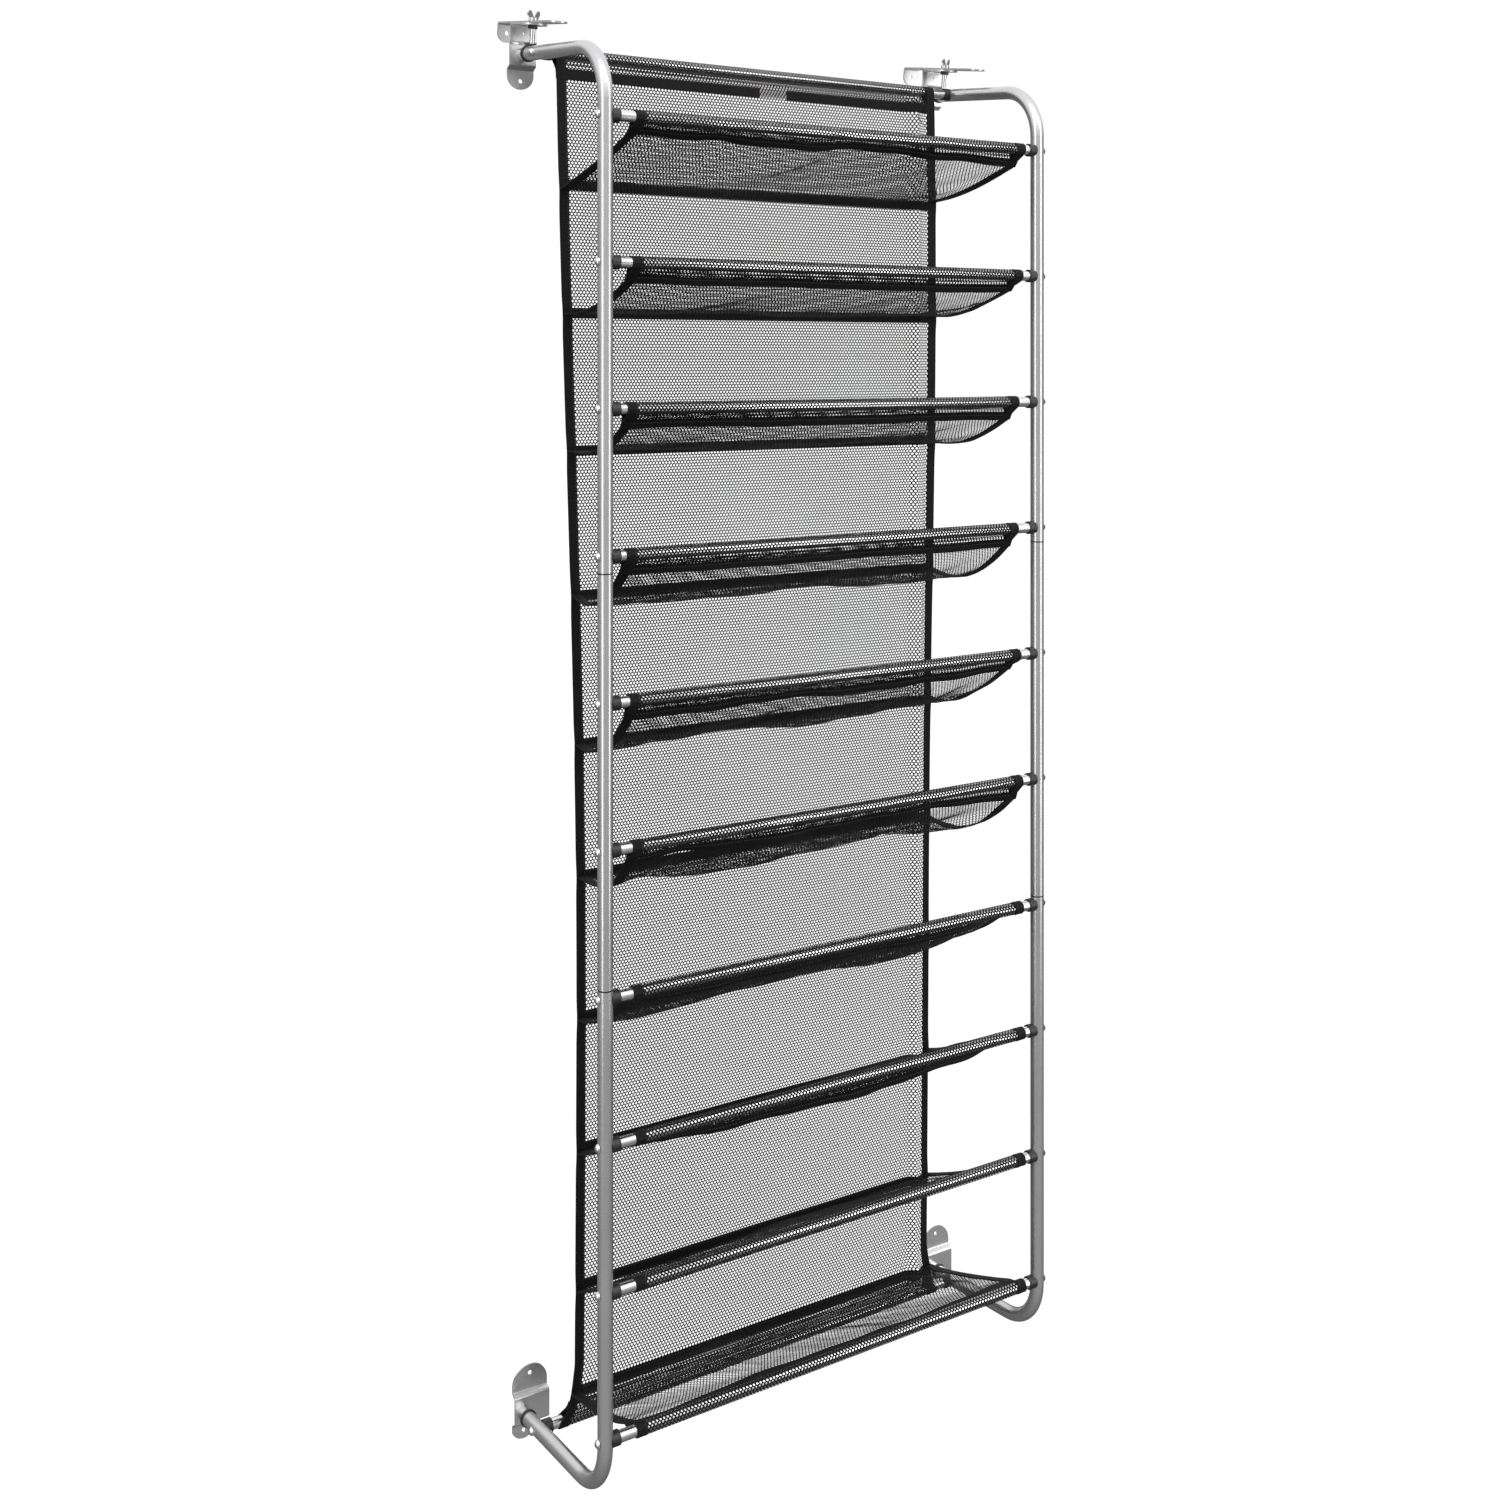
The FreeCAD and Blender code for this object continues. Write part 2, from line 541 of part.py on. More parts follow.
def panel_top_tape(sign):
    """Half of the tape that closes the top sleeve, with a gap between the halves."""
    hem_z = arm_z(-BACK_RAIL_STANDOFF, True) - TOP_HEM
    y1 = PANEL_FRONT_Y - SEAT_FIT
    if sign < 0:
        x0, x1 = -MESH_HALF, TAPE_GAP_SHIFT - TAPE_GAP / 2
    else:
        x0, x1 = TAPE_GAP_SHIFT + TAPE_GAP / 2, MESH_HALF
    return box(x0, x1, y1 - TAPE_T, y1, hem_z, hem_z + TAPE_WIDTH)


# ================================================================= assembly
def build():
    nodes = {}
    for side, sign in SIDES.items():
        x = sign * FRAME_SPACING / 2
        nodes[f"{side}_frame_top"] = frame_end_section(x, True)
        nodes[f"{side}_frame_middle"] = frame_middle_section(x)
        nodes[f"{side}_frame_bottom"] = frame_end_section(x, False)
        for level, upper in (("upper", True), ("lower", False)):
            nodes[f"{level}_{side}_collar"] = arm_collar(x, upper)
            nodes[f"{level}_{side}_stub"] = arm_stub(x, upper)
        nodes[f"upper_{side}_plate"] = upper_plate(x)
        nodes[f"lower_{side}_plate"] = lower_plate(x)
        nodes[f"{side}_door_hook"] = door_hook(x)
        nodes[f"{side}_wing_bolt"] = wing_bolt(x)
        nodes[f"{side}_hook_nut"] = hook_nut(x)
        ends = rail_places()
        spacers = [rail_spacer(sign, y, z, direction) for y, z, direction in ends]
        inserts = [rail_insert(sign, y, z) for y, z, _ in ends]
        screws = [rail_screw(sign, y, z) for y, z, _ in ends]
        nodes[f"{side}_rail_spacers"] = Part.makeCompound(spacers)
        nodes[f"{side}_rail_inserts"] = Part.makeCompound(inserts)
        nodes[f"{side}_rail_screws"] = Part.makeCompound(screws)
        nodes[f"panel_{side}_tape"] = panel_side_tape(sign)
        nodes[f"panel_top_tape_{side}"] = panel_top_tape(sign)
    for tier, z in enumerate(RAIL_Z):
        nodes[f"shelf_rail_{tier + 1:02d}"] = rail(-UPRIGHT_STANDOFF, z)
        nodes[f"shelf_mesh_{tier + 1:02d}"] = shelf(tier)
    nodes["back_rail_top"] = rail(-BACK_RAIL_STANDOFF, arm_z(-BACK_RAIL_STANDOFF, True))
    nodes["back_rail_bottom"] = rail(-BACK_RAIL_STANDOFF, arm_z(-BACK_RAIL_STANDOFF, False))
    nodes["back_panel_mesh"] = back_panel()
    return nodes


os.makedirs("parts", exist_ok=True)
for name, shape in build().items():
    solids = shape.Solids
    whole = solids[0] if len(solids) == 1 else Part.makeCompound(solids)
    whole.exportStep(f"parts/{name}.step")
    print(name, len(solids), "valid" if whole.isValid() else "INVALID", round(whole.Volume, 1))
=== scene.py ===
# %% [markdown]
# # Ten tier over door shoe organizer
#
# Two side frames of bent tube hang from a door and carry ten front rails. A long net
# panel hangs between two back rails, and ten net shelves run from the front rails
# back to that panel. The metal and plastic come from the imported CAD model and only
# get finishes here. Everything that is cloth is made here: the cloth is cut flat,
# hung and let sag, and then the net, the tapes and the stitches are laid on it.

# %% Load the frame
import math

import bpy
import numpy as np
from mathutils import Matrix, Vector


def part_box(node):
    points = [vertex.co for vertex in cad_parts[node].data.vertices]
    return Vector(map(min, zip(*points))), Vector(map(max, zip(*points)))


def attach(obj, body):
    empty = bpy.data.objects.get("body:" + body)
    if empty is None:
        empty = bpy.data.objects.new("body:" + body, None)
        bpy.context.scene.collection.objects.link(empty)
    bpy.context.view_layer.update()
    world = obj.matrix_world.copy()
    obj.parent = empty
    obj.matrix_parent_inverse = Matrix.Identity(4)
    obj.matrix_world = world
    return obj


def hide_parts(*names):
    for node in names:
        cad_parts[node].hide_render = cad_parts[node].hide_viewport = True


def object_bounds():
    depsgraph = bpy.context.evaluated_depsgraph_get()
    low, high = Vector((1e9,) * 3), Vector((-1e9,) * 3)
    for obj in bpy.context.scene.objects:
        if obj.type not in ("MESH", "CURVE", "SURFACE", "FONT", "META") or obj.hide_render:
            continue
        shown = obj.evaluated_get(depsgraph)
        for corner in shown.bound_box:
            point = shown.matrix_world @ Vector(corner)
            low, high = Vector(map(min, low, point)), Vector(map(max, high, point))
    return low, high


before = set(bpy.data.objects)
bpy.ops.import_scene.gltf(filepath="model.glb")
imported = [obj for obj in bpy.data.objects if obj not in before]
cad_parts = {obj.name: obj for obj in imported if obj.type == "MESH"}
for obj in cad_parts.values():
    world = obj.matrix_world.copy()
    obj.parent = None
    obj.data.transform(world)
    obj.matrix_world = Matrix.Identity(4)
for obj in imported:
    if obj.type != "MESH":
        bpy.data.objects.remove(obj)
cad_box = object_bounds()
MM = 0.001

# %% [markdown]
# ## Camera
#
# The rack hangs at eye height and is looked at from the left and a little below its
# top, with the camera level. A level camera keeps the uprights upright. The lens is
# shifted down instead of tilting the camera, as an architect's lens is.

# %% Camera
CAMERA_PLACE = (-1.0603, -1.7493, -0.3758)
CAMERA_TURN = 31.6
LENS = 40.43
LENS_SHIFT = -0.2613


def add_camera():
    """A level camera with a lowered lens."""
    data = bpy.data.cameras.new("level camera")
    data.lens = LENS
    data.sensor_width = 36
    data.shift_y = LENS_SHIFT
    camera = bpy.data.objects.new("level camera", data)
    camera.location = CAMERA_PLACE
    camera.rotation_euler = (math.radians(90), 0, math.radians(-CAMERA_TURN))
    bpy.context.scene.collection.objects.link(camera)
    bpy.context.scene.camera = camera
    return camera


camera = add_camera()
print("camera at", tuple(round(c, 2) for c in camera.location))

# %% [markdown]
# ## Nodes written as Python
#
# Materials and Geometry Nodes are both trees of nodes. One helper makes any node: it
# sets the node's own settings first, because they decide which sockets exist, and
# then gives each socket a value or a link. A small class wraps one number that flows
# between nodes, so that a formula reads as a formula and adds its own Math nodes.

# %% Node helpers
def socket_of(sockets, key):
    """The socket at an index, or the one in use with that name."""
    if isinstance(key, int):
        return sockets[key]
    return next(s for s in sockets if s.name == key and s.enabled)


class Flow:
    """A value that flows out of a socket. Arithmetic on it adds Math nodes."""

    def __init__(self, nodes, socket):
        self.nodes = nodes
        self.socket = socket

    def math(self, operation, *values):
        node = self.nodes.add("ShaderNodeMath", {"operation": operation}, dict(enumerate(values)))
        return node[0]

    def __add__(self, other):
        return self.math("ADD", self, other)

    def __sub__(self, other):
        return self.math("SUBTRACT", self, other)

    def __mul__(self, other):
        return self.math("MULTIPLY", self, other)

    def __truediv__(self, other):
        return self.math("DIVIDE", self, other)

    def sine(self):
        return self.math("SINE", self)

    def floor(self):
        return self.math("FLOOR", self)

    def near(self, other, reach):
        return self.math("COMPARE", self, other, reach)

    __radd__ = __add__
    __rmul__ = __mul__


class Made:
    """A node that was added. Its outputs are read by name or index."""

    def __init__(self, nodes, node):
        self.nodes = nodes
        self.node = node

    def __getitem__(self, key):
        return Flow(self.nodes, socket_of(self.node.outputs, key))


class Nodes:
    """A node tree being built."""

    def __init__(self, tree):
        self.tree = tree

    def add(self, kind, settings=None, inputs=None):
        node = self.tree.nodes.new(kind)
        for name, value in (settings or {}).items():
            if name == "stops":
                self.set_stops(node.color_ramp, value)
            else:
                setattr(node, name, value)
        for key, value in (inputs or {}).items():
            self.feed(socket_of(node.inputs, key), value)
        return Made(self, node)

    def feed(self, socket, value):
        if isinstance(value, Flow):
            self.tree.links.new(value.socket, socket)
        else:
            socket.default_value = value

    def set_stops(self, ramp, stops):
        while len(ramp.elements) < len(stops):
            ramp.elements.new(1.0)
        for element, (place, level) in zip(ramp.elements, stops):
            element.position = place
            element.color = (level, level, level, 1)


print("node helpers ready")

# %% [markdown]
# ## Studio
#
# A pale floor runs off to a white surround. Bare metal only looks like metal when it
# has something to reflect, and a white room would turn it white, so what the metal
# reflects is a grey room with soft boxes in it. Two tall boxes draw the two bright
# bands down each tube, and a third above lights the rails.

# %% Studio
FLOOR_DROP = 0.42
FLOOR_SIZE = 60.0
WALL_LEVEL = 1.05
ROOM_BEHIND_CAMERA = 0.5
ROOM_BEHIND_RACK = 0.22
ROOM_BELOW = 0.6
ROOM_CEILING = 0.8
FLOOR_GLOW = 0.96


def add_floor():
    """A wide floor below the rack. It glows, so it stays an even white under any light."""
    z = cad_box[0][2] - FLOOR_DROP
    half = FLOOR_SIZE / 2
    mesh = bpy.data.meshes.new("floor")
    corners = [(-half, -half, z), (half, -half, z), (half, half, z), (-half, half, z)]
    mesh.from_pydata(corners, [], [(0, 1, 2, 3)])
    floor = bpy.data.objects.new("floor", mesh)
    bpy.context.scene.collection.objects.link(floor)
    material = bpy.data.materials.new("pale floor")
    material.use_nodes = True
    nodes = Nodes(material.node_tree)
    shader = material.node_tree.nodes["Principled BSDF"]
    place = nodes.add("ShaderNodeTexCoord")["Object"]
    cloud = nodes.add("ShaderNodeTexNoise", None, {"Vector": place, "Scale": 1.5})["Fac"]
    ramp = nodes.add("ShaderNodeValToRGB", {"stops": [(0.3, 0.06), (0.7, 0.09)]}, {"Fac": cloud})
    nodes.feed(shader.inputs["Base Color"], ramp["Color"])
    shader.inputs["Roughness"].default_value = 0.9
    shader.inputs["Emission Color"].default_value = (1, 1, 1, 1)
    shader.inputs["Emission Strength"].default_value = FLOOR_GLOW
    mesh.materials.append(material)
    floor.visible_glossy = False
    floor.visible_diffuse = False


def add_surround():
    """White where it is seen, and a grey room where it lights and is reflected."""
    world = bpy.data.worlds.new("studio")
    world.use_nodes = True
    bpy.context.scene.world = world
    nodes = Nodes(world.node_tree)
    background = world.node_tree.nodes["Background"]
    way = nodes.add("ShaderNodeTexCoord")["Generated"]
    turn = math.radians(CAMERA_TURN)
    ahead = nodes.add("ShaderNodeVectorMath", {"operation": "DOT_PRODUCT"},
                      {0: way, 1: (math.sin(turn), math.cos(turn), 0)})["Value"] * 0.5 + 0.5
    height = nodes.add("ShaderNodeSeparateXYZ", None, {"Vector": way})["Z"]
    stops = [(0.1, ROOM_BEHIND_CAMERA), (0.6, ROOM_BEHIND_RACK)]
    room = nodes.add("ShaderNodeValToRGB", {"stops": stops}, {"Fac": ahead})["Color"]
    stops = [(0.3, ROOM_BELOW), (0.48, 1.0)]
    low = nodes.add("ShaderNodeValToRGB", {"stops": stops}, {"Fac": height * 0.5 + 0.5})["Color"]
    walls = nodes.add("ShaderNodeMix", {"data_type": "RGBA", "blend_type": "MULTIPLY"},
                      {"Factor": 1.0, 6: room, 7: low})[2]
    stops = [(0.56, 0.0), (0.72, ROOM_CEILING)]
    high = nodes.add("ShaderNodeValToRGB", {"stops": stops}, {"Fac": height * 0.5 + 0.5})["Color"]
    dim = nodes.add("ShaderNodeMix", {"data_type": "RGBA", "blend_type": "ADD"},
                    {"Factor": 1.0, 6: walls, 7: high})[2]
    seen = nodes.add("ShaderNodeLightPath")["Is Camera Ray"]
    mix = nodes.add("ShaderNodeMix", {"data_type": "RGBA"}, {"Factor": seen, 6: dim, 7: (1, 1, 1, 1)})
    nodes.feed(background.inputs["Color"], mix[2])
    background.inputs["Strength"].default_value = WALL_LEVEL


def add_softbox(name, place, aim, size, power):
    """A rectangular soft box that faces a point."""
    data = bpy.data.lights.new(name, "AREA")
    data.shape = "RECTANGLE"
    data.size, data.size_y = size
    data.energy = power
    box = bpy.data.objects.new(name, data)
    box.location = place
    box.rotation_euler = (Vector(aim) - Vector(place)).to_track_quat("-Z", "Y").to_euler()
    bpy.context.scene.collection.objects.link(box)


bpy.context.scene.view_settings.view_transform = "Standard"
add_floor()
add_surround()
add_softbox("left box", (-2.1, -0.95, -0.15), (0, -0.1, -0.15), (0.62, 3.2), 15)
add_softbox("right box", (1.4, -2.1, -0.15), (0, -0.1, -0.15), (0.6, 3.2), 20)
add_softbox("top box", (-0.5, -1.5, 1.7), (0, -0.1, -0.5), (2.4, 0.9), 20)
print("studio lit")

# %% [markdown]
# ## Places that come from the frame
#
# The cloth hangs on the rails, so its places are read from the CAD boxes of the
# rails and tapes. Lengths are in metres, and MM turns millimetres into metres.

# %% Places from the frame
TIERS = 10


def centre(node):
    low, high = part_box(node)
    return (low + high) / 2


rails = [centre(f"shelf_rail_{tier + 1:02d}") for tier in range(TIERS)]
rail_radius = (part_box("shelf_rail_01")[1].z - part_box("shelf_rail_01")[0].z) / 2
top_rail, bottom_rail = centre("back_rail_top"), centre("back_rail_bottom")
shelf_half = (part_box("shelf_mesh_01")[1].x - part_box("shelf_mesh_01")[0].x) / 2
panel_half = (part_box("panel_right_tape")[1].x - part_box("panel_left_tape")[0].x) / 2
tape_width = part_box("panel_left_tape")[1].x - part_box("panel_left_tape")[0].x
gap_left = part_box("panel_top_tape_left")[1].x
gap_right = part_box("panel_top_tape_right")[0].x
top_tape_z = centre("panel_top_tape_left").z
top_tape_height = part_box("panel_top_tape_left")[1].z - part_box("panel_top_tape_left")[0].z
print(f"rails {rail_radius * 2000:.1f} mm thick, shelves {shelf_half * 2000:.0f} mm wide")
print(f"panel {panel_half * 2000:.0f} mm wide, tape {tape_width * 1000:.0f} mm")

# %% [markdown]
# ## Finishes
#
# Each finish starts from what the real surface does. Powder coat is smooth with a
# faint orange peel, drawn tube has fine lines along its length, zinc plate is
# clouded by its crystals, moulded plastic has a fine grain. All of them read Object
# coordinates, so a pattern stays where it is on the piece.

# %% Finish helpers
def finish(name, colour, roughness, metallic=0.0, sheen=0.0, gloss=0.5):
    """A new material with constants on its shader, and its node builder."""
    material = bpy.data.materials.new(name)
    material.use_nodes = True
    shader = material.node_tree.nodes["Principled BSDF"]
    shader.inputs["Base Color"].default_value = (*colour, 1)
    shader.inputs["Roughness"].default_value = roughness
    shader.inputs["Metallic"].default_value = metallic
    shader.inputs["Sheen Weight"].default_value = sheen
    shader.inputs["Specular IOR Level"].default_value = gloss
    return material, shader, Nodes(material.node_tree)


def shade(nodes, fac, dark, light):
    """A colour that runs from dark to light as fac goes from 0 to 1."""
    ends = [c if isinstance(c, Flow) else (*c, 1) for c in (dark, light)]
    mix = nodes.add("ShaderNodeMix", {"data_type": "RGBA"}, {"Factor": fac, 6: ends[0], 7: ends[1]})
    return mix[2]


def grey(level):
    return (level, level, level)


def noise(nodes, place, scale, detail=3.0, stretch=(1, 1, 1)):
    """Smooth noise at a scale, stretched along an axis if asked."""
    mapped = nodes.add("ShaderNodeMapping", None, {"Vector": place, "Scale": stretch})["Vector"]
    return nodes.add("ShaderNodeTexNoise", None, {"Vector": mapped, "Scale": scale, "Detail": detail})["Fac"]


def bump(nodes, shader, height, strength, distance):
    """Feeds a bump into the shader's Normal."""
    made = nodes.add("ShaderNodeBump", None, {"Height": height, "Strength": strength, "Distance": distance})
    nodes.feed(shader.inputs["Normal"], made["Normal"])


print("finish helpers ready")

# %% Metal finishes
JOINT_LINE = 0.7 * MM
tube_joints = [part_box("left_frame_top")[0].z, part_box("left_frame_bottom")[1].z]


def silver_coat():
    """Satin silver powder coat on the tubes, with a dark line where two sections meet."""
    material, shader, nodes = finish("satin silver coat", (0.6, 0.6, 0.61), 0.27, 0.82)
    place = nodes.add("ShaderNodeTexCoord")["Object"]
    cloud = noise(nodes, place, 14, 4)
    peel = noise(nodes, place, 1400, 2)
    height = nodes.add("ShaderNodeSeparateXYZ", None, {"Vector": place})["Z"]
    lines = height.near(tube_joints[0], JOINT_LINE) + height.near(tube_joints[1], JOINT_LINE)
    coat = shade(nodes, cloud, (0.56, 0.56, 0.57), (0.66, 0.66, 0.67))
    nodes.feed(shader.inputs["Base Color"], shade(nodes, lines, coat, grey(0.03)))
    nodes.feed(shader.inputs["Roughness"], cloud * 0.1 + 0.2)
    bump(nodes, shader, peel, 0.12, 0.0002)
    return material


def drawn_rail():
    """Bright drawn tube with fine lines along its length, which is X."""
    material, shader, nodes = finish("bright drawn rail", (0.8, 0.8, 0.8), 0.16, 1.0)
    place = nodes.add("ShaderNodeTexCoord")["Object"]
    lines = noise(nodes, place, 900, 3, (0.02, 1, 1))
    smudge = noise(nodes, place, 30, 3)
    nodes.feed(shader.inputs["Base Color"], shade(nodes, lines, (0.72, 0.72, 0.73), (0.86, 0.86, 0.86)))
    nodes.feed(shader.inputs["Roughness"], smudge * 0.14 + 0.1)
    bump(nodes, shader, lines, 0.1, 0.0001)
    return material


def bright_steel():
    """Polished nickel plate on screws and stubs."""
    material, shader, nodes = finish("polished steel", (0.78, 0.78, 0.77), 0.14, 1.0)
    place = nodes.add("ShaderNodeTexCoord")["Object"]
    smudge = noise(nodes, place, 160, 4)
    nodes.feed(shader.inputs["Base Color"], shade(nodes, smudge, (0.7, 0.7, 0.69), (0.85, 0.85, 0.85)))
    nodes.feed(shader.inputs["Roughness"], smudge * 0.16 + 0.08)
    bump(nodes, shader, noise(nodes, place, 2500, 2), 0.05, 0.0001)
    return material


def zinc_plate(name, dark, light, smooth):
    """Zinc plated sheet: cloudy crystals and faint brushing."""
    material, shader, nodes = finish(name, light, smooth, 0.9)
    place = nodes.add("ShaderNodeTexCoord")["Object"]
    crystals = nodes.add("ShaderNodeTexVoronoi", None, {"Vector": place, "Scale": 260})["Color"]
    flat = nodes.add("ShaderNodeRGBToBW", None, {"Color": crystals})["Val"]
    brushed = noise(nodes, place, 700, 3, (1, 1, 0.06))
    cloud = flat * 0.2 + brushed * 0.8
    nodes.feed(shader.inputs["Base Color"], shade(nodes, cloud, dark, light))
    nodes.feed(shader.inputs["Roughness"], cloud * 0.08 + (smooth - 0.04))
    bump(nodes, shader, brushed, 0.03, 0.0001)
    return material


def moulded(name, dark, light, rough):
    """Moulded plastic with a fine grain."""
    material, shader, nodes = finish(name, light, rough)
    place = nodes.add("ShaderNodeTexCoord")["Object"]
    grain = noise(nodes, place, 1800, 3)
    patch = noise(nodes, place, 60, 3)
    nodes.feed(shader.inputs["Base Color"], shade(nodes, patch, dark, light))
    nodes.feed(shader.inputs["Roughness"], patch * 0.16 + (rough - 0.08))
    bump(nodes, shader, grain, 0.2, 0.0002)
    return material


finishes = {
    "silver_tube": silver_coat(),
    "rail_steel": drawn_rail(),
    "bright_steel": bright_steel(),
    "zinc_plate": zinc_plate("zinc plate", grey(0.7), grey(0.8), 0.33),
    "hook_steel": zinc_plate("hook plate", grey(0.66), grey(0.78), 0.33),
    "black_plastic": moulded("black plastic", grey(0.012), grey(0.022), 0.36),
    "grey_plastic": moulded("grey plastic", grey(0.16), grey(0.22), 0.5),
    "black_nut": moulded("blackened steel", grey(0.02), grey(0.04), 0.3),
}
print("finishes:", ", ".join(sorted(m.name for m in finishes.values())))

# %% Finish the CAD pieces
def slot_name(material):
    return material.name.split(".")[0]


finished = 0
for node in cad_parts.values():
    for place in node.material_slots:
        if place.material and slot_name(place.material) in finishes:
            place.material = finishes[slot_name(place.material)]
            finished += 1
print("finished", finished, "material slots on CAD pieces")

# %% [markdown]
# ## Cloth finishes
#
# The net is knitted from a dull black thread, and the tape is a ribbed ribbon. A
# ribbon's ribs run across it, so the tape carries its own coordinates: how far along
# and how far across each point lies. The ribs are a sine of the distance along.

# %% Cloth finishes
RIB_PITCH = 1.3 * MM


def net_thread():
    """Dull black knitted thread."""
    material, shader, nodes = finish("black net thread", grey(0.008), 0.6, 0, 0.03, 0.15)
    place = nodes.add("ShaderNodeTexCoord")["Object"]
    twist = noise(nodes, place, 2600, 2)
    patch = noise(nodes, place, 25, 3)
    nodes.feed(shader.inputs["Base Color"], shade(nodes, patch, grey(0.006), grey(0.011)))
    nodes.feed(shader.inputs["Roughness"], twist * 0.2 + 0.5)
    bump(nodes, shader, twist, 0.35, 0.0002)
    return material


def ribbed_tape():
    """Black ribbon with ribs across it, from the tape's own run."""
    material, shader, nodes = finish("black ribbed tape", grey(0.008), 0.6, 0, 0.02, 0.14)
    run = nodes.add("ShaderNodeAttribute", {"attribute_name": "tape_run"})["Vector"]
    parts = nodes.add("ShaderNodeSeparateXYZ", None, {"Vector": run})
    ribs = (parts["X"] * (2 * math.pi / RIB_PITCH)).sine() * 0.5 + 0.5
    place = nodes.add("ShaderNodeTexCoord")["Object"]
    fuzz = noise(nodes, place, 1500, 3)
    height = ribs * 0.75 + fuzz * 0.25
    nodes.feed(shader.inputs["Base Color"], shade(nodes, height, grey(0.003), grey(0.008)))
    nodes.feed(shader.inputs["Roughness"], fuzz * 0.2 + 0.48)
    bump(nodes, shader, height, 0.5, 0.0004)
    return material


def sewing_thread():
    """Black sewing thread with a twist."""
    material, shader, nodes = finish("black sewing thread", grey(0.03), 0.45)
    place = nodes.add("ShaderNodeTexCoord")["Object"]
    twist = noise(nodes, place, 3000, 2)
    nodes.feed(shader.inputs["Base Color"], shade(nodes, twist, grey(0.02), grey(0.045)))
    bump(nodes, shader, twist, 0.3, 0.0002)
    return material


NET, TAPE, THREAD = net_thread(), ribbed_tape(), sewing_thread()
print("cloth finishes:", NET.name, "/", TAPE.name, "/", THREAD.name)

# %% [markdown]
# ## How each shelf hangs
#
# The ten shelves are sewn alike, but no two hang alike: the sleeves slide along
# their rails, the seams on the panel wander, and the middle shelves have more spare
# cloth, which pulls their hems straight down. A tight shelf pulls its hem back
# behind the rail. One line for each shelf keeps this, in millimetres and degrees:
# how far its sleeve has slid, how far its seam lies below the rail and how much
# that changes across, how deep its belly is, how far back its hem is turned, how
# much more at its ends, how restless it is, and how much its sheet ripples.

# %% How each shelf hangs
SHELVES = [
    {"slide": 5, "seam": 57, "tilt": 14, "belly": 2, "back": 50, "ends": -8, "unrest": 13, "ripple": 3},
    {"slide": 1, "seam": 47, "tilt": 2, "belly": 9, "back": 30, "ends": 8, "unrest": 5, "ripple": 2},
    {"slide": -5, "seam": 50, "tilt": 0, "belly": 12, "back": 28, "ends": 8, "unrest": 5, "ripple": 2},
    {"slide": -6, "seam": 61, "tilt": -4, "belly": 21, "back": 20, "ends": 8, "unrest": 5, "ripple": 2.5},
    {"slide": -2, "seam": 74, "tilt": 0, "belly": 17, "back": 26, "ends": 8, "unrest": 10, "ripple": 4},
    {"slide": 1, "seam": 72, "tilt": 0, "belly": 19, "back": 28, "ends": 8, "unrest": 12, "ripple": 5},
    {"slide": 2, "seam": 78, "tilt": 2, "belly": 11, "back": 38, "ends": 20, "unrest": 7, "ripple": 3},
    {"slide": 5, "seam": 72, "tilt": 14, "belly": 2, "back": 20, "ends": 50, "unrest": 8, "ripple": 4},
    {"slide": 5, "seam": 78, "tilt": 10, "belly": 4, "back": 68, "ends": 8, "unrest": 4, "ripple": 3},
    {"slide": 6, "seam": 43, "tilt": 2, "belly": 3, "back": 76, "ends": 0, "unrest": 4, "ripple": 3},
]
HEM_REACH = 19.5 * MM
CREASE_SLANT = 0.2
SEAM_UNREST = 1.8 * MM
HEM_TAPE = 8.5 * MM
SLEEVE_AIR = 0.8 * MM
LAYER_GAP = 0.5 * MM
COLUMNS = 66
SHEET_ROWS = 22


def wander(x, seed, size):
    """A slow wave along x, the same each time for one seed."""
    total = np.zeros_like(x)
    for k, length in enumerate((0.31, 0.17, 0.083)):
        total += np.sin(2 * np.pi * x / length + 2.4 * seed + 1.7 * k * seed) / (k + 1.5)
    return size * total


print("ten shelves described")

# %% [markdown]
# ## The panel
#
# The panel is one long piece of net. It goes over the top back rail and is sewn to
# itself below it, runs down to the bottom rail and turns up behind that. Between
# the rails nothing holds its sides, so the shelves pull it forward and draw its
# sides in, which gives it a waist.

# %% Shape of the panel
PANEL_STEP = 10 * MM
WAIST = 17.5 * MM
WAIST_FROM = 0.7
BOTTOM_FLARE = 0.04
PANEL_SLIDE = -3 * MM
TOP_SLIDE = -5 * MM
PANEL_PULL = 6 * MM
PANEL_UNREST = 0.7 * MM
PANEL_SLANT = 0.13
SEAM_PULL = 1.6 * MM
SEAM_PULL_REACH = 14 * MM
FOLD_X = 0.222
FOLD_HEIGHT = 9 * MM
FOLD_REACH = 8 * MM
TURN_STEPS = 12
sleeve_radius = rail_radius + SLEEVE_AIR
panel_front = top_rail.y - sleeve_radius


def down_panel(z):
    """How far down the panel a height lies, from 0 at the top rail to 1."""
    return np.clip((top_rail.z - z) / (top_rail.z - bottom_rail.z), 0, 1)


def half_width(z):
    """Half the panel's width at a height. It narrows downwards and flares at the bottom rail."""
    t = down_panel(z)
    narrowed = np.sin(np.pi / 2 * np.minimum(1, t / WAIST_FROM)) ** 2
    flared = np.sqrt(np.clip((1 - t) / BOTTOM_FLARE, 0, 1))
    return panel_half - WAIST * narrowed * flared


def panel_x(across, z):
    """Place across the panel, from -1 to 1, as x. The panel sits a little to the left."""
    return across * half_width(z) + PANEL_SLIDE + TOP_SLIDE * (1 - down_panel(z)) ** 4


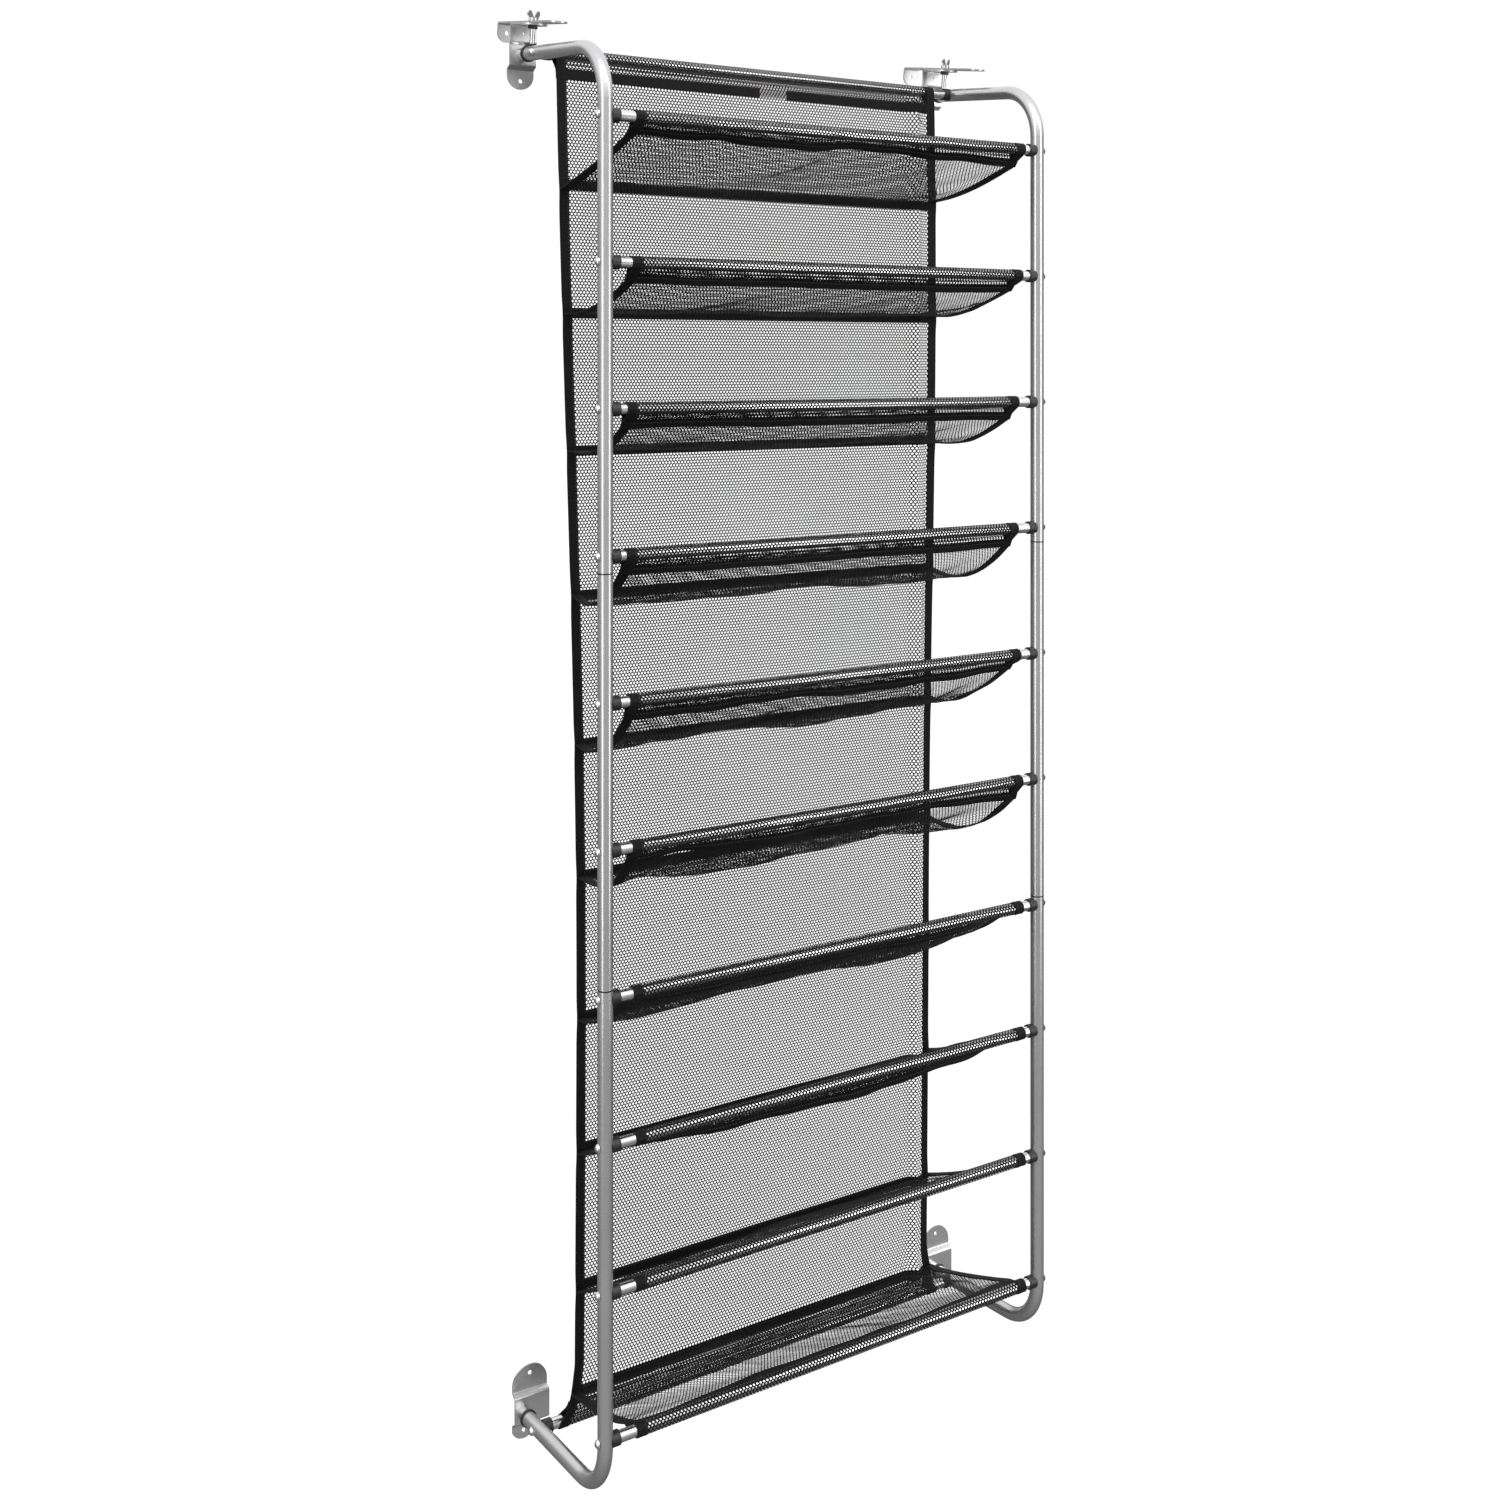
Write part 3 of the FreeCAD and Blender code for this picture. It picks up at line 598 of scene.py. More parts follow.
def seam_height(tier, x):
    """Height of a shelf's seam on the panel."""
    shelf = SHELVES[tier]
    slope = shelf["tilt"] * MM * x / (2 * panel_half)
    return rails[tier].z - shelf["seam"] * MM + slope + wander(x, tier + 3, SEAM_UNREST)


def panel_y(x, z):
    """The panel's front at a point."""
    t = down_panel(z)
    bulge = np.sin(np.pi * t)
    y = panel_front - PANEL_PULL * bulge + wander(x + PANEL_SLANT * z, 5, PANEL_UNREST) * bulge
    for tier in range(TIERS):
        away = (z - seam_height(tier, x)) / SEAM_PULL_REACH
        y = y - SEAM_PULL * np.exp(-away * away)
    return y - FOLD_HEIGHT * np.exp(-((x - FOLD_X) / FOLD_REACH) ** 2)


def sleeve_turn(rail, radius, start, end, steps):
    """Points (y, z) round a rail between two angles in degrees. 0 points forward, 90 up."""
    angle = np.radians(np.linspace(start, end, steps))
    return [(rail.y - radius * math.cos(a), rail.z + radius * math.sin(a)) for a in angle]


TURN_BEHIND = 200
HEM_OPENS = 1 * MM
hem_drop = top_rail.z - top_tape_z
behind = panel_front + 2 * LAYER_GAP
top_path = [(behind, top_tape_z - top_tape_height / 2), (behind, top_tape_z)]
top_path += [(behind + HEM_OPENS, top_tape_z + top_tape_height / 2)]
top_path += sleeve_turn(top_rail, sleeve_radius, TURN_BEHIND, 0, TURN_STEPS)
steps = round((top_rail.z - bottom_rail.z) / PANEL_STEP)
front_path = [(panel_front, z) for z in np.linspace(top_rail.z, bottom_rail.z, steps + 1)][1:-1]
bottom_path = sleeve_turn(bottom_rail, sleeve_radius, 0, -TURN_BEHIND, TURN_STEPS)
bottom_path += [(behind + HEM_OPENS, bottom_rail.z + hem_drop - top_tape_height / 2)]
bottom_path += [(behind, bottom_rail.z + hem_drop)]
panel_path = np.array(top_path + front_path + bottom_path)[::-1]
panel_run = np.concatenate([[0], np.cumsum(np.hypot(*np.diff(panel_path, axis=0).T))])
panel_length = panel_run[-1]
top_of_front = panel_run[-len(top_path)]
print(f"panel is cut {panel_half * 2000:.0f} x {panel_length * 1000:.0f} mm")


def panel_run_at(z):
    """How far along the cut panel a height on its front lies."""
    return top_of_front - (top_rail.z - z)


# %% [markdown]
# ## Cloth surfaces
#
# A cloth surface is a plain grid of points that nobody sees. Each point also knows
# where it lies on the flat cut, in a UV map named "cut", and everything that is
# laid on the cloth finds its place through that map.

# %% Cloth surfaces
def cloth_surface(name, points, run):
    """A grid of points (rows, columns, 3) as a mesh, with its flat places in a UV map.

    Rows run up the side that is seen, so that what is raised off the cloth faces out.
    """
    rows, columns, _ = points.shape
    mesh = bpy.data.meshes.new(name)
    faces = []
    for r in range(rows - 1):
        for c in range(columns - 1):
            a = r * columns + c
            faces.append((a, a + 1, a + columns + 1, a + columns))
    mesh.from_pydata(points.reshape(-1, 3).tolist(), [], faces)
    u = np.tile(np.linspace(0, 1, columns), rows)
    v = np.repeat(np.asarray(run) / run[-1], columns)
    layer = mesh.uv_layers.new(name="cut")
    corners = np.empty(len(mesh.loops), dtype=np.int32)
    mesh.loops.foreach_get("vertex_index", corners)
    layer.data.foreach_set("uv", np.stack([u[corners], v[corners]], 1).astype(np.float32).ravel())
    surface = bpy.data.objects.new(name, mesh)
    bpy.context.scene.collection.objects.link(surface)
    return surface


across = np.linspace(-1, 1, COLUMNS)
panel_points = np.zeros((len(panel_path), COLUMNS, 3))
for row, (y, z) in enumerate(panel_path):
    x = panel_x(across, z)
    panel_points[row, :, 0] = x
    on_front = len(bottom_path) <= row < len(bottom_path) + len(front_path)
    panel_points[row, :, 1] = panel_y(x, z) if on_front else y
    panel_points[row, :, 2] = z
panel_cloth = cloth_surface("panel cloth", panel_points, panel_run)
print("panel cloth has", len(panel_cloth.data.vertices), "points")

# %% [markdown]
# ## Sagging sheets
#
# Behind its sleeve each shelf is a loose sheet, held by the hem in front and the
# seam on the panel behind. Its sag is what a cloth simulation does well. All ten
# sheets go into one mesh and are simulated once. Each starts as a shallow trough
# whose length is the length of the real cloth, so little time is needed to settle.

# %% Sheets before they sag
def hem_turn(tier, x):
    """How far the hem is turned back from hanging straight down, in radians."""
    shelf = SHELVES[tier]
    at_ends = shelf["ends"] * (x / shelf_half) ** 4
    return np.radians(shelf["back"] + at_ends + wander(x, tier, shelf["unrest"]))


def hem_place(tier, x, reach, aside=0.0):
    """The (y, z) of a place on the hem at a distance from the rail's centre."""
    turn, rail = hem_turn(tier, x), rails[tier]
    y = rail.y + reach * np.sin(turn) + aside * np.cos(turn)
    z = rail.z - reach * np.cos(turn) + aside * np.sin(turn)
    return y, z


def sheet_start(tier):
    """A shelf's sheet as a shallow trough, as (rows, columns, 3)."""
    shelf, rail = SHELVES[tier], rails[tier]
    front_x = across * shelf_half + shelf["slide"] * MM
    back_x = panel_x(across, rail.z - shelf["seam"] * MM)
    back_z = seam_height(tier, back_x)
    back_y = panel_y(back_x, back_z)
    front_y, front_z = hem_place(tier, front_x, HEM_REACH + HEM_TAPE / 2, LAYER_GAP)
    points = np.zeros((SHEET_ROWS, COLUMNS, 3))
    for row in range(SHEET_ROWS):
        t = row / (SHEET_ROWS - 1)
        points[row, :, 0] = front_x * (1 - t) + back_x * t
        points[row, :, 1] = front_y * (1 - t) + back_y * t
        trough = shelf["belly"] * MM * 4 * t * (1 - t)
        crease = points[row, :, 0] + CREASE_SLANT * t
        ripple = wander(crease, tier + 7, shelf["ripple"] * MM) * math.sin(math.pi * t)
        points[row, :, 2] = front_z * (1 - t) + back_z * t - trough + ripple
    return points


starts = [sheet_start(tier) for tier in range(TIERS)]
print("sheets laid out,", sum(s.shape[0] * s.shape[1] for s in starts), "points")

# %% Let the sheets sag
SAG_FRAMES = 26


def sag(grids):
    """Runs one cloth simulation on all grids, with first and last rows held."""
    rows, columns, _ = grids[0].shape
    mesh = bpy.data.meshes.new("sheets")
    faces = []
    for g in range(len(grids)):
        base = g * rows * columns
        for r in range(rows - 1):
            for c in range(columns - 1):
                a = base + r * columns + c
                faces.append((a, a + columns, a + columns + 1, a + 1))
    mesh.from_pydata(np.concatenate([g.reshape(-1, 3) for g in grids]).tolist(), [], faces)
    sheets = bpy.data.objects.new("sheets", mesh)
    bpy.context.scene.collection.objects.link(sheets)
    held = sheets.vertex_groups.new(name="sewn")
    sewn = [g * rows * columns + r * columns + c
            for g in range(len(grids)) for r in (0, rows - 1) for c in range(columns)]
    held.add(sewn, 1.0, "REPLACE")
    cloth = sheets.modifiers.new("sag", "CLOTH")
    settings = cloth.settings
    settings.quality = 6
    settings.mass = 0.004
    settings.tension_stiffness = 60
    settings.compression_stiffness = 60
    settings.shear_stiffness = 12
    settings.bending_stiffness = 0.02
    settings.tension_damping = 12
    settings.compression_damping = 12
    settings.air_damping = 1.5
    settings.vertex_group_mass = "sewn"
    cloth.collision_settings.use_collision = False
    cloth.point_cache.frame_end = SAG_FRAMES
    scene = bpy.context.scene
    for moment in range(1, SAG_FRAMES + 1):
        scene.frame_set(moment)
    graph = bpy.context.evaluated_depsgraph_get()
    settled = bpy.data.meshes.new_from_object(sheets.evaluated_get(graph))
    points = np.empty(len(settled.vertices) * 3)
    settled.vertices.foreach_get("co", points)
    sheets.modifiers.remove(cloth)
    bpy.data.objects.remove(sheets)
    scene.frame_set(1)
    return list(points.reshape(len(grids), rows, columns, 3))


settled = sag(starts)
drops = [1000 * float(np.abs(a - b).max()) for a, b in zip(starts, settled)]
print("largest move in each sheet, mm:", [round(d, 1) for d in drops])

# %% [markdown]
# ## Shelf cloth
#
# A shelf's cloth starts at the lower edge of its hem, goes up the front, over the
# rail and down behind it, and then becomes the sheet. The sleeve is worked out from
# the rail's radius and joined to the settled sheet. Midpoints between the rows and
# columns of the sheet smooth it.

# %% Shelf cloth
def midpoints(grid):
    """Adds smooth points midway between the rows of a grid."""
    padded = np.concatenate([2 * grid[:1] - grid[1:2], grid, 2 * grid[-1:] - grid[-2:-1]])
    middle = (9 * (padded[1:-2] + padded[2:-1]) - padded[:-3] - padded[3:]) / 16
    finer = np.empty((2 * len(grid) - 1, *grid.shape[1:]))
    finer[::2], finer[1::2] = grid, middle
    return finer


def sleeve_rows(tier, x):
    """The sleeve of a shelf, from the hem's lower edge round to the same edge behind."""
    low, high = HEM_REACH + HEM_TAPE / 2, HEM_REACH - HEM_TAPE / 2
    hem = [(low, -LAYER_GAP), (HEM_REACH, -LAYER_GAP), (high, -LAYER_GAP)]
    leaves = math.acos(sleeve_radius / high)
    around = [(sleeve_radius * math.cos(a), -sleeve_radius * math.sin(a))
              for a in np.linspace(leaves, 2 * math.pi - leaves, TURN_STEPS + 4)]
    path = hem + around + [(reach, -aside) for reach, aside in reversed(hem)]
    rows = np.zeros((len(path), len(x), 3))
    for row, (reach, aside) in enumerate(path):
        rows[row, :, 0] = x
        rows[row, :, 1], rows[row, :, 2] = hem_place(tier, x, reach, aside)
    return rows


def shelf_points(tier):
    """All of a shelf's cloth, and how far along the cut each row lies."""
    sheet = midpoints(midpoints(settled[tier]).transpose(1, 0, 2)).transpose(1, 0, 2)
    points = np.concatenate([sleeve_rows(tier, sheet[0, :, 0]), sheet[1:]])
    steps = np.linalg.norm(np.diff(points, axis=0), axis=2).mean(axis=1)
    return points, np.concatenate([[0], np.cumsum(steps)])


shelf_cloths, shelf_runs = [], []
for tier in range(TIERS):
    points, run = shelf_points(tier)
    shelf_cloths.append(cloth_surface(f"shelf cloth {tier + 1}", points, run))
    shelf_runs.append(run)
print("shelves are cut", [round(1000 * run[-1]) for run in shelf_runs], "mm long")

# %% [markdown]
# ## Laying things on the cloth
#
# The net, the tapes and the stitches are all made flat, as on a cutting table, and
# then laid on the cloth. A node group does this: it turns a flat place into a place
# on the cut, looks that up on the cloth, and moves the point there, lifted off the
# surface by its height. Points that fall off the cloth are cut away.

# %% Lay on cloth
def new_tree(name, sockets):
    """A Geometry Nodes tree with named inputs, its builder, and its inputs as values."""
    tree = bpy.data.node_groups.new(name, "GeometryNodeTree")
    for label, kind in sockets:
        tree.interface.new_socket(label, in_out="INPUT", socket_type="NodeSocket" + kind)
    tree.interface.new_socket("Geometry", in_out="OUTPUT", socket_type="NodeSocketGeometry")
    nodes = Nodes(tree)
    return tree, nodes, nodes.add("NodeGroupInput")


def lay_on_cloth_tree():
    """Moves flat geometry onto the cloth, by the cloth's cut map."""
    tree, nodes, given = new_tree("Lay On Cloth", [
        ("Flat", "Geometry"), ("Cloth", "Geometry"), ("Cut Width", "Float"), ("Cut Length", "Float"),
    ])
    place = nodes.add("GeometryNodeInputPosition")["Position"]
    flat = nodes.add("ShaderNodeSeparateXYZ", None, {"Vector": place})
    u = flat["X"] / given["Cut Width"]
    v = flat["Y"] / given["Cut Length"]
    where = nodes.add("ShaderNodeCombineXYZ", None, {"X": u, "Y": v, "Z": flat["Z"]})["Vector"]
    kept = nodes.add("GeometryNodeStoreNamedAttribute", {"data_type": "FLOAT_VECTOR", "domain": "POINT"},
                     {"Geometry": given["Flat"], "Name": "flat_place", "Value": where})["Geometry"]
    held = nodes.add("GeometryNodeInputNamedAttribute", {"data_type": "FLOAT_VECTOR"},
                     {"Name": "flat_place"})["Attribute"]
    lift = nodes.add("ShaderNodeSeparateXYZ", None, {"Vector": held})["Z"]
    cut = nodes.add("GeometryNodeInputNamedAttribute", {"data_type": "FLOAT_VECTOR"},
                    {"Name": "cut"})["Attribute"]
    surface = {"Mesh": given["Cloth"], "UV Map": cut, "Sample UV": held}
    spot = nodes.add("GeometryNodeSampleUVSurface", {"data_type": "FLOAT_VECTOR"},
                     {**surface, "Value": place})
    normal = nodes.add("GeometryNodeInputNormal")["Normal"]
    out = nodes.add("GeometryNodeSampleUVSurface", {"data_type": "FLOAT_VECTOR"},
                    {**surface, "Value": normal})
    raised = nodes.add("ShaderNodeVectorMath", {"operation": "SCALE"},
                       {"Vector": out["Value"], "Scale": lift})
    target = nodes.add("ShaderNodeVectorMath", {"operation": "ADD"}, {0: spot["Value"], 1: raised["Vector"]})
    off = nodes.add("FunctionNodeBooleanMath", {"operation": "NOT"}, {0: spot["Is Valid"]})["Boolean"]
    trimmed = nodes.add("GeometryNodeDeleteGeometry", {"domain": "POINT"},
                        {"Geometry": kept, "Selection": off})
    laid = nodes.add("GeometryNodeSetPosition", None,
                     {"Geometry": trimmed["Geometry"], "Position": target["Vector"]})["Geometry"]
    nodes.add("NodeGroupOutput", None, {"Geometry": laid})
    return tree


LAY = lay_on_cloth_tree()


def lay(nodes, flat, given):
    """Adds the lay-on-cloth group to another tree."""
    return nodes.add("GeometryNodeGroup", {"node_tree": LAY}, {
        "Flat": flat, "Cloth": given["Cloth"],
        "Cut Width": given["Cut Width"], "Cut Length": given["Cut Length"],
    })["Geometry"]


print("lay-on-cloth group has", len(LAY.nodes), "nodes")

# %% Run a tree on a cloth
def run_tree(tree, cloth, name, values):
    """Runs a tree on a cloth surface and returns what it makes as a plain object."""
    work = bpy.data.objects.new("work", cloth.data)
    bpy.context.scene.collection.objects.link(work)
    modifier = work.modifiers.new("make", "NODES")
    modifier.node_group = tree
    for label, value in values.items():
        modifier[tree.interface.items_tree[label].identifier] = value
    graph = bpy.context.evaluated_depsgraph_get()
    mesh = bpy.data.meshes.new_from_object(work.evaluated_get(graph), preserve_all_data_layers=True,
                                           depsgraph=graph)
    work.modifiers.remove(modifier)
    bpy.data.objects.remove(work)
    mesh.name = name
    made = bpy.data.objects.new(name, mesh)
    bpy.context.scene.collection.objects.link(made)
    return made


def triangles(piece):
    return sum(len(p.vertices) - 2 for p in piece.data.polygons)


print("ready to run trees")

# %% [markdown]
# ## The net
#
# The net is knitted in upright six sided holes, each row shifted by half a hole. One
# hole is a ring of six faces: the outer edge runs along the middle of the threads
# and stands up a little, the inner edge is the hole. The ring is set on a staggered
# grid, its neighbours are welded to it, and the whole net is laid on the cloth.

# %% One hole of the net
HOLE_PITCH = 4.2 * MM
ROW_PITCH = 3.33 * MM
HOLE_SIDE = 1.6 * MM
THREAD_WIDTH = 1.35 * MM
THREAD_RIDGE = 0.4 * MM


def six_corners(half_x, side, tip):
    return [(0, tip), (-half_x, side), (-half_x, -side), (0, -tip), (half_x, -side), (half_x, side)]


def net_hole():
    """A ring of six faces round one hole, and the share of it that is thread."""
    half, side = HOLE_PITCH / 2, HOLE_SIDE / 2
    tip = ROW_PITCH - side
    slant = math.hypot(half, tip - side)
    inset = THREAD_WIDTH / 2
    inner_half = half - inset
    inner_tip = tip - inset * slant / half
    inner_side = inner_tip - inner_half * (tip - side) / half
    outer = [(x, y, THREAD_RIDGE) for x, y in six_corners(half, side, tip)]
    inner = [(x, y, 0) for x, y in six_corners(inner_half, inner_side, inner_tip)]
    mesh = bpy.data.meshes.new("net hole")
    faces = [(k, (k + 1) % 6, 6 + (k + 1) % 6, 6 + k) for k in range(6)]
    mesh.from_pydata(outer + inner, [], faces)
    hole = bpy.data.objects.new("net hole", mesh)
    bpy.context.scene.collection.objects.link(hole)
    hole_area = 2 * inner_half * (inner_side + inner_tip)
    return hole, 1 - hole_area / (HOLE_PITCH * ROW_PITCH)


NET_HOLE, THREAD_SHARE = net_hole()
print(f"thread covers {THREAD_SHARE:.2f} of the net")

# %% Net tree
MAP_MARGIN = 0.01
MAP_SHARE = 0.98


def net_tree():
    """A staggered grid of net holes from Start along the cut, laid on the cloth."""
    tree, nodes, given = new_tree("Net", [
        ("Cloth", "Geometry"), ("Cut Width", "Float"), ("Cut Length", "Float"), ("Start", "Float"),
        ("Columns", "Int"), ("Rows", "Int"), ("Hole", "Object"), ("Hole Pitch", "Float"),
        ("Row Pitch", "Float"), ("Weld", "Float"), ("Finish", "Material"),
    ])
    width = (given["Columns"] - 1) * given["Hole Pitch"]
    length = (given["Rows"] - 1) * given["Row Pitch"]
    grid = nodes.add("GeometryNodeMeshGrid", None, {
        "Size X": width, "Size Y": length, "Vertices X": given["Columns"], "Vertices Y": given["Rows"],
    })["Mesh"]
    place = nodes.add("GeometryNodeInputPosition")["Position"]
    height = nodes.add("ShaderNodeSeparateXYZ", None, {"Vector": place})["Y"]
    row = ((height + length * 0.5) / given["Row Pitch"] + 0.5).floor()
    odd = row - (row * 0.5).floor() * 2
    move_x = given["Cut Width"] * 0.5 + (odd - 0.5) * given["Hole Pitch"] * 0.5
    move_y = given["Start"] + length * 0.5
    move = nodes.add("ShaderNodeCombineXYZ", None, {"X": move_x, "Y": move_y})["Vector"]
    placed = nodes.add("GeometryNodeSetPosition", None, {"Geometry": grid, "Offset": move})["Geometry"]
    hole = nodes.add("GeometryNodeObjectInfo", None, {"Object": given["Hole"]})["Geometry"]
    spread = nodes.add("GeometryNodeInstanceOnPoints", None,
                       {"Points": placed, "Instance": hole})["Instances"]
    real = nodes.add("GeometryNodeRealizeInstances", None, {"Geometry": spread})["Geometry"]
    welded = nodes.add("GeometryNodeMergeByDistance", None,
                       {"Geometry": real, "Distance": given["Weld"]})["Geometry"]
    flat = nodes.add("ShaderNodeSeparateXYZ", None, {"Vector": place})
    u = flat["X"] / given["Cut Width"]
    v = (flat["Y"] - given["Start"] + given["Row Pitch"]) / (length + given["Row Pitch"] * 2)
    map_u, map_v = u * MAP_SHARE + MAP_MARGIN, v * MAP_SHARE + MAP_MARGIN
    map_place = nodes.add("ShaderNodeCombineXYZ", None, {"X": map_u, "Y": map_v})["Vector"]
    mapped = nodes.add("GeometryNodeStoreNamedAttribute", {"data_type": "FLOAT2", "domain": "CORNER"},
                       {"Geometry": welded, "Name": "OFBake", "Value": map_place})["Geometry"]
    laid = lay(nodes, mapped, given)
    coated = nodes.add("GeometryNodeSetMaterial", None,
                       {"Geometry": laid, "Material": given["Finish"]})["Geometry"]
    nodes.add("NodeGroupOutput", None, {"Geometry": coated})
    return tree


NET_TREE = net_tree()
NET_INSET = 3 * MM
WELD_GAP = 0.05 * MM


def knit(cloth, name, cut, start, end):
    """Net on a cloth between two places along its cut. cut is (width, length)."""
    net = run_tree(NET_TREE, cloth, name, {
        "Cut Width": cut[0], "Cut Length": cut[1], "Start": start,
        "Columns": int((cut[0] - 2 * NET_INSET) / HOLE_PITCH),
        "Rows": int((end - start) / ROW_PITCH) + 1,
        "Hole": NET_HOLE, "Hole Pitch": HOLE_PITCH, "Row Pitch": ROW_PITCH,
        "Weld": WELD_GAP, "Finish": NET,
    })
    net.data.attributes.remove(net.data.attributes["flat_place"])
    return net


shelf_nets = []
for tier in range(TIERS):
    cut = (2 * shelf_half, float(shelf_runs[tier][-1]))
    shelf_nets.append(knit(shelf_cloths[tier], f"shelf_net_{tier + 1:02d}", cut,
                           ROW_PITCH, cut[1] - ROW_PITCH))
print("shelf nets:", [triangles(net) for net in shelf_nets], "triangles")

# %% [markdown]
# The panel's net is one cloth too, but a single mesh of it would be very large. It is
# knitted in five stretches that meet under the seam tapes.

# %% Panel net
PANEL_CUTS_AT = (1, 3, 5, 7)
panel_cut = (2 * panel_half, float(panel_length))
ends = [ROW_PITCH] + [panel_run_at(float(seam_height(t, np.zeros(1))[0])) for t in PANEL_CUTS_AT]
ends = sorted([*ends, panel_length - ROW_PITCH])
panel_nets = []
for k, (start, end) in enumerate(zip(ends, ends[1:])):
    panel_nets.append(knit(panel_cloth, f"panel_net_{k + 1:02d}", panel_cut, start, end))
print("panel nets:", [triangles(net) for net in panel_nets], "triangles")

# %% [markdown]
# ## Tapes
#
# Ribbed tape binds every cut edge: along the hem and both sides of each shelf, down
# both sides of the panel, along each seam and below the top rail. A tape is a thin
# closed strip, made flat with its own run stored on it, then turned, moved to its
# place on the cut and laid on the cloth.

# %% Tape tree
def tape_tree():
    """A closed flat strip with its own run stored, laid on the cloth."""
    tree, nodes, given = new_tree("Tape", [
        ("Cloth", "Geometry"), ("Cut Width", "Float"), ("Cut Length", "Float"), ("Middle", "Vector"),
        ("Turn", "Float"), ("Length", "Float"), ("Width", "Float"), ("Thickness", "Float"),
        ("Steps", "Int"), ("Finish", "Material"),
    ])
    size = nodes.add("ShaderNodeCombineXYZ", None, {
        "X": given["Length"], "Y": given["Width"], "Z": given["Thickness"],
    })["Vector"]
    strip = nodes.add("GeometryNodeMeshCube", None, {
        "Size": size, "Vertices X": given["Steps"], "Vertices Y": 4, "Vertices Z": 2,
    })["Mesh"]
    place = nodes.add("GeometryNodeInputPosition")["Position"]
    marked = nodes.add("GeometryNodeStoreNamedAttribute", {"data_type": "FLOAT_VECTOR", "domain": "POINT"},
                       {"Geometry": strip, "Name": "tape_run", "Value": place})["Geometry"]
    turn = nodes.add("ShaderNodeCombineXYZ", None, {"Z": given["Turn"]})["Vector"]
    moved = nodes.add("GeometryNodeTransform", None, {
        "Geometry": marked, "Translation": given["Middle"], "Rotation": turn,
    })["Geometry"]
    laid = lay(nodes, moved, given)
    coated = nodes.add("GeometryNodeSetMaterial", None,
                       {"Geometry": laid, "Material": given["Finish"]})["Geometry"]
    nodes.add("NodeGroupOutput", None, {"Geometry": coated})
    return tree


TAPE_TREE = tape_tree()
TAPE_THICKNESS = 1.5 * MM
SEAM_THICKNESS = 1.8 * MM
TAPE_STEP = 4 * MM
ALONG, DOWN = 0.0, math.pi / 2


def tape(cloth, name, cut, middle, length, width, turn, thickness=TAPE_THICKNESS):
    """A tape on a cloth. middle is its flat centre and turn its direction on the cut."""
    strip = run_tree(TAPE_TREE, cloth, name, {
        "Cut Width": cut[0], "Cut Length": cut[1], "Middle": (*middle, 0.0), "Turn": turn,
        "Length": length, "Width": width, "Thickness": thickness,
        "Steps": max(3, round(length / TAPE_STEP)), "Finish": TAPE,
    })
    strip.data.attributes.remove(strip.data.attributes["flat_place"])
    return strip


EDGE = 0.15 * MM
shelf_tapes, shelf_cuts = [], []
for tier in range(TIERS):
    cloth, cut = shelf_cloths[tier], (2 * shelf_half, float(shelf_runs[tier][-1]))
    label = f"shelf_{tier + 1:02d}"
    hem = tape(cloth, f"{label}_hem_tape", cut, (cut[0] / 2, HEM_TAPE / 2 + EDGE), cut[0] - 4 * EDGE,
               HEM_TAPE, ALONG, TAPE_THICKNESS + 2 * LAYER_GAP)
    sides = [
        tape(cloth, f"{label}_{side}_binding", cut, (x, cut[1] / 2), cut[1] - 4 * EDGE, tape_width, DOWN)
        for side, x in (("left", tape_width / 2 + EDGE), ("right", cut[0] - tape_width / 2 - EDGE))
    ]
    shelf_tapes.append([hem, *sides])
    shelf_cuts.append(cut)
print("shelf tapes:", sum(len(t) for t in shelf_tapes))

# %% Panel tapes
panel_tapes = []
for tier in range(TIERS):
    run = panel_run_at(float(seam_height(tier, np.zeros(1))[0]))
    panel_tapes.append(tape(panel_cloth, f"panel_seam_tape_{tier + 1:02d}", panel_cut,
                            (panel_cut[0] / 2, run), panel_cut[0] - 4 * EDGE, tape_width, ALONG,
                            SEAM_THICKNESS))
for side, x in (("left", tape_width / 2 + EDGE), ("right", panel_cut[0] - tape_width / 2 - EDGE)):
    panel_tapes.append(tape(panel_cloth, f"panel_{side}_binding", panel_cut, (x, panel_length / 2),
                            panel_length - 4 * EDGE, tape_width, DOWN))
top_run = panel_run_at(top_tape_z)
for side, start, end in (("left", -panel_half, gap_left), ("right", gap_right, panel_half)):
    panel_tapes.append(tape(panel_cloth, f"top_hem_tape_{side}", panel_cut,
                            ((start + end) / 2 + panel_half, top_run), end - start - 4 * EDGE,
                            top_tape_height, ALONG, SEAM_THICKNESS))
print("panel tapes:", len(panel_tapes), "with", sum(triangles(t) for t in panel_tapes), "triangles")

# %% [markdown]
# ## Stitches
#
# Every tape is sewn down with a row of stitches near its edge. One stitch is a low
# ridge of a few faces. A row of them is made flat, turned and moved to its place on
# the cut, and laid on the cloth on top of the tape.

# %% Stitch rows
STITCH_LENGTH = 2.6 * MM
STITCH_WIDTH = 0.6 * MM
STITCH_HEIGHT = 0.35 * MM
STITCH_PITCH = 4 * MM
STITCH_INSET = 1.6 * MM


def one_stitch():
    """A stitch as a low ridge with sloping ends."""
    x, y, z = STITCH_LENGTH / 2, STITCH_WIDTH / 2, STITCH_HEIGHT
    points = [(-x, 0, 0), (-x / 2, -y, 0), (x / 2, -y, 0), (x, 0, 0), (x / 2, y, 0), (-x / 2, y, 0)]
    points += [(-x / 2, 0, z), (x / 2, 0, z)]
    faces = [(0, 1, 6), (1, 2, 7, 6), (2, 3, 7), (3, 4, 7), (4, 5, 6, 7), (5, 0, 6)]
    mesh = bpy.data.meshes.new("stitch")
    mesh.from_pydata(points, [], faces)
    stitch = bpy.data.objects.new("stitch", mesh)
    bpy.context.scene.collection.objects.link(stitch)
    return stitch


